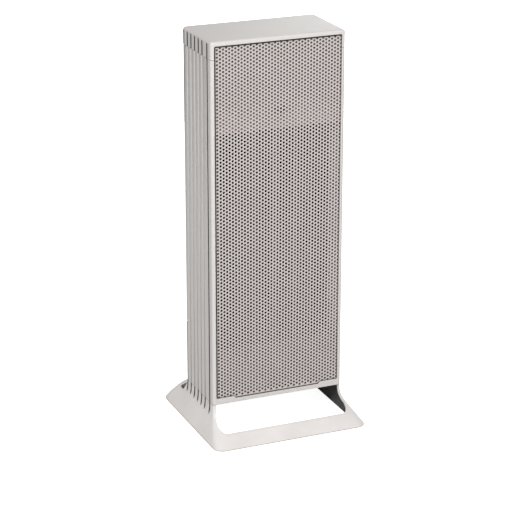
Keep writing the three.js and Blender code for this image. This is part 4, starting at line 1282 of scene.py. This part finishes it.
piece("rocker_cap", rocker(), "black_plastic", ["power_rocker"], "rocker")


# ---- heating elements: folded fins between channel walls ----
CHANNEL_WALL = 1.6
FIN_PITCH, FIN_THICKNESS, FIN_INSET = 3.2, 0.6, 0.8


def heating_bar(node):
    """Five upright walls with a folded fin between each two of them."""
    (x0, y0, z0), (x1, y1, z1) = size_of(node)
    lefts = evenly(x0, x1 - CHANNEL_WALL, 4)
    parts = [softened(block((x, x + CHANNEL_WALL), (y0, y1), (z0, z1)), 0.2) for x in lefts]
    zs = evenly(z0, z1 - FIN_THICKNESS, round((z1 - z0) / FIN_PITCH))
    for wall, right in zip(lefts, lefts[1:]):
        front = [(wall + CHANNEL_WALL if i % 2 else right, z) for i, z in enumerate(zs)]
        outline = front + [(x, z + FIN_THICKNESS) for x, z in front[::-1]]
        parts.append(prism("y", outline, y0 + FIN_INSET, y1 - FIN_INSET))
    return joined(parts)


for i in range(4):
    node = f"ptc_bar_{i + 1}"
    piece(f"finned_element_{i + 1}", heating_bar(node), "aluminium", [node])

# ---- parts carried over from the frame ----
slots = {part["node"]: part["material_slot"] for part in frame["record"]["subparts"]}
for name, node in frame["nodes"].items():
    if node.hide_render:
        continue
    node.data.materials.clear()
    node.data.materials.append(FINISHES[slots[name]])
    add_bevel(node, 0.3, 2, 50)


# ---- floor and light ----
FLOOR_HALF = 9000
LAMP_AIM = Vector((0, 0, 0.28))


def floor():
    """A plain pale floor, brighter to the camera than as a reflector under the object."""
    s = Surface("floor", (0.82, 0.82, 0.82), 0.8, Specular_IOR_Level=0.1,
                Emission_Color=(1, 1, 1, 1))
    s.mix(s.noise(400, 2), 0.4, 0.7, 0.3, (0.80, 0.80, 0.80))
    seen = s.node("LightPath").outputs["Is Camera Ray"]
    glow = s.node("Math", {0: seen, 1: 0.9}, operation="MULTIPLY")
    s.links.new(glow.outputs[0], s.shader.inputs["Emission Strength"])
    low, high = -FLOOR_HALF, FLOOR_HALF
    mesh = mesh_of([(low, low, 0), (high, low, 0), (high, high, 0), (low, high, 0)], [(0, 1, 2, 3)])
    mesh.materials.append(s.material)
    add_object("floor", mesh)


def lamp(name, place, size, power):
    """A round lamp that faces the object."""
    data = bpy.data.lights.new(name, "AREA")
    data.shape, data.size, data.energy = "DISK", size, power
    ob = add_object(name, data)
    ob.location = place
    ob.rotation_mode = "QUATERNION"
    ob.rotation_quaternion = (LAMP_AIM - Vector(place)).to_track_quat("-Z", "Y")


def world_light(strength):
    """A white surround: full white for the camera, dimmer as light."""
    world = bpy.data.worlds.new("surround")
    bpy.context.scene.world = world
    world.use_nodes = True
    nodes, links = world.node_tree.nodes, world.node_tree.links
    seen = nodes["Background"]
    seen.inputs["Color"].default_value = (1, 1, 1, 1)
    lit = nodes.new("ShaderNodeBackground")
    lit.inputs["Color"].default_value = (1, 1, 1, 1)
    lit.inputs["Strength"].default_value = strength
    path, mix = nodes.new("ShaderNodeLightPath"), nodes.new("ShaderNodeMixShader")
    links.new(path.outputs["Is Camera Ray"], mix.inputs["Fac"])
    links.new(lit.outputs[0], mix.inputs[1])
    links.new(seen.outputs[0], mix.inputs[2])
    links.new(mix.outputs[0], nodes["World Output"].inputs["Surface"])


floor()
world_light(0.24)
lamp("key", (-1.21, -2.77, 2.95), 0.8, 126)
lamp("rear_fill", (1.8, 2.6, 0.50), 1.6, 44)
bpy.context.scene.view_settings.view_transform = "Standard"
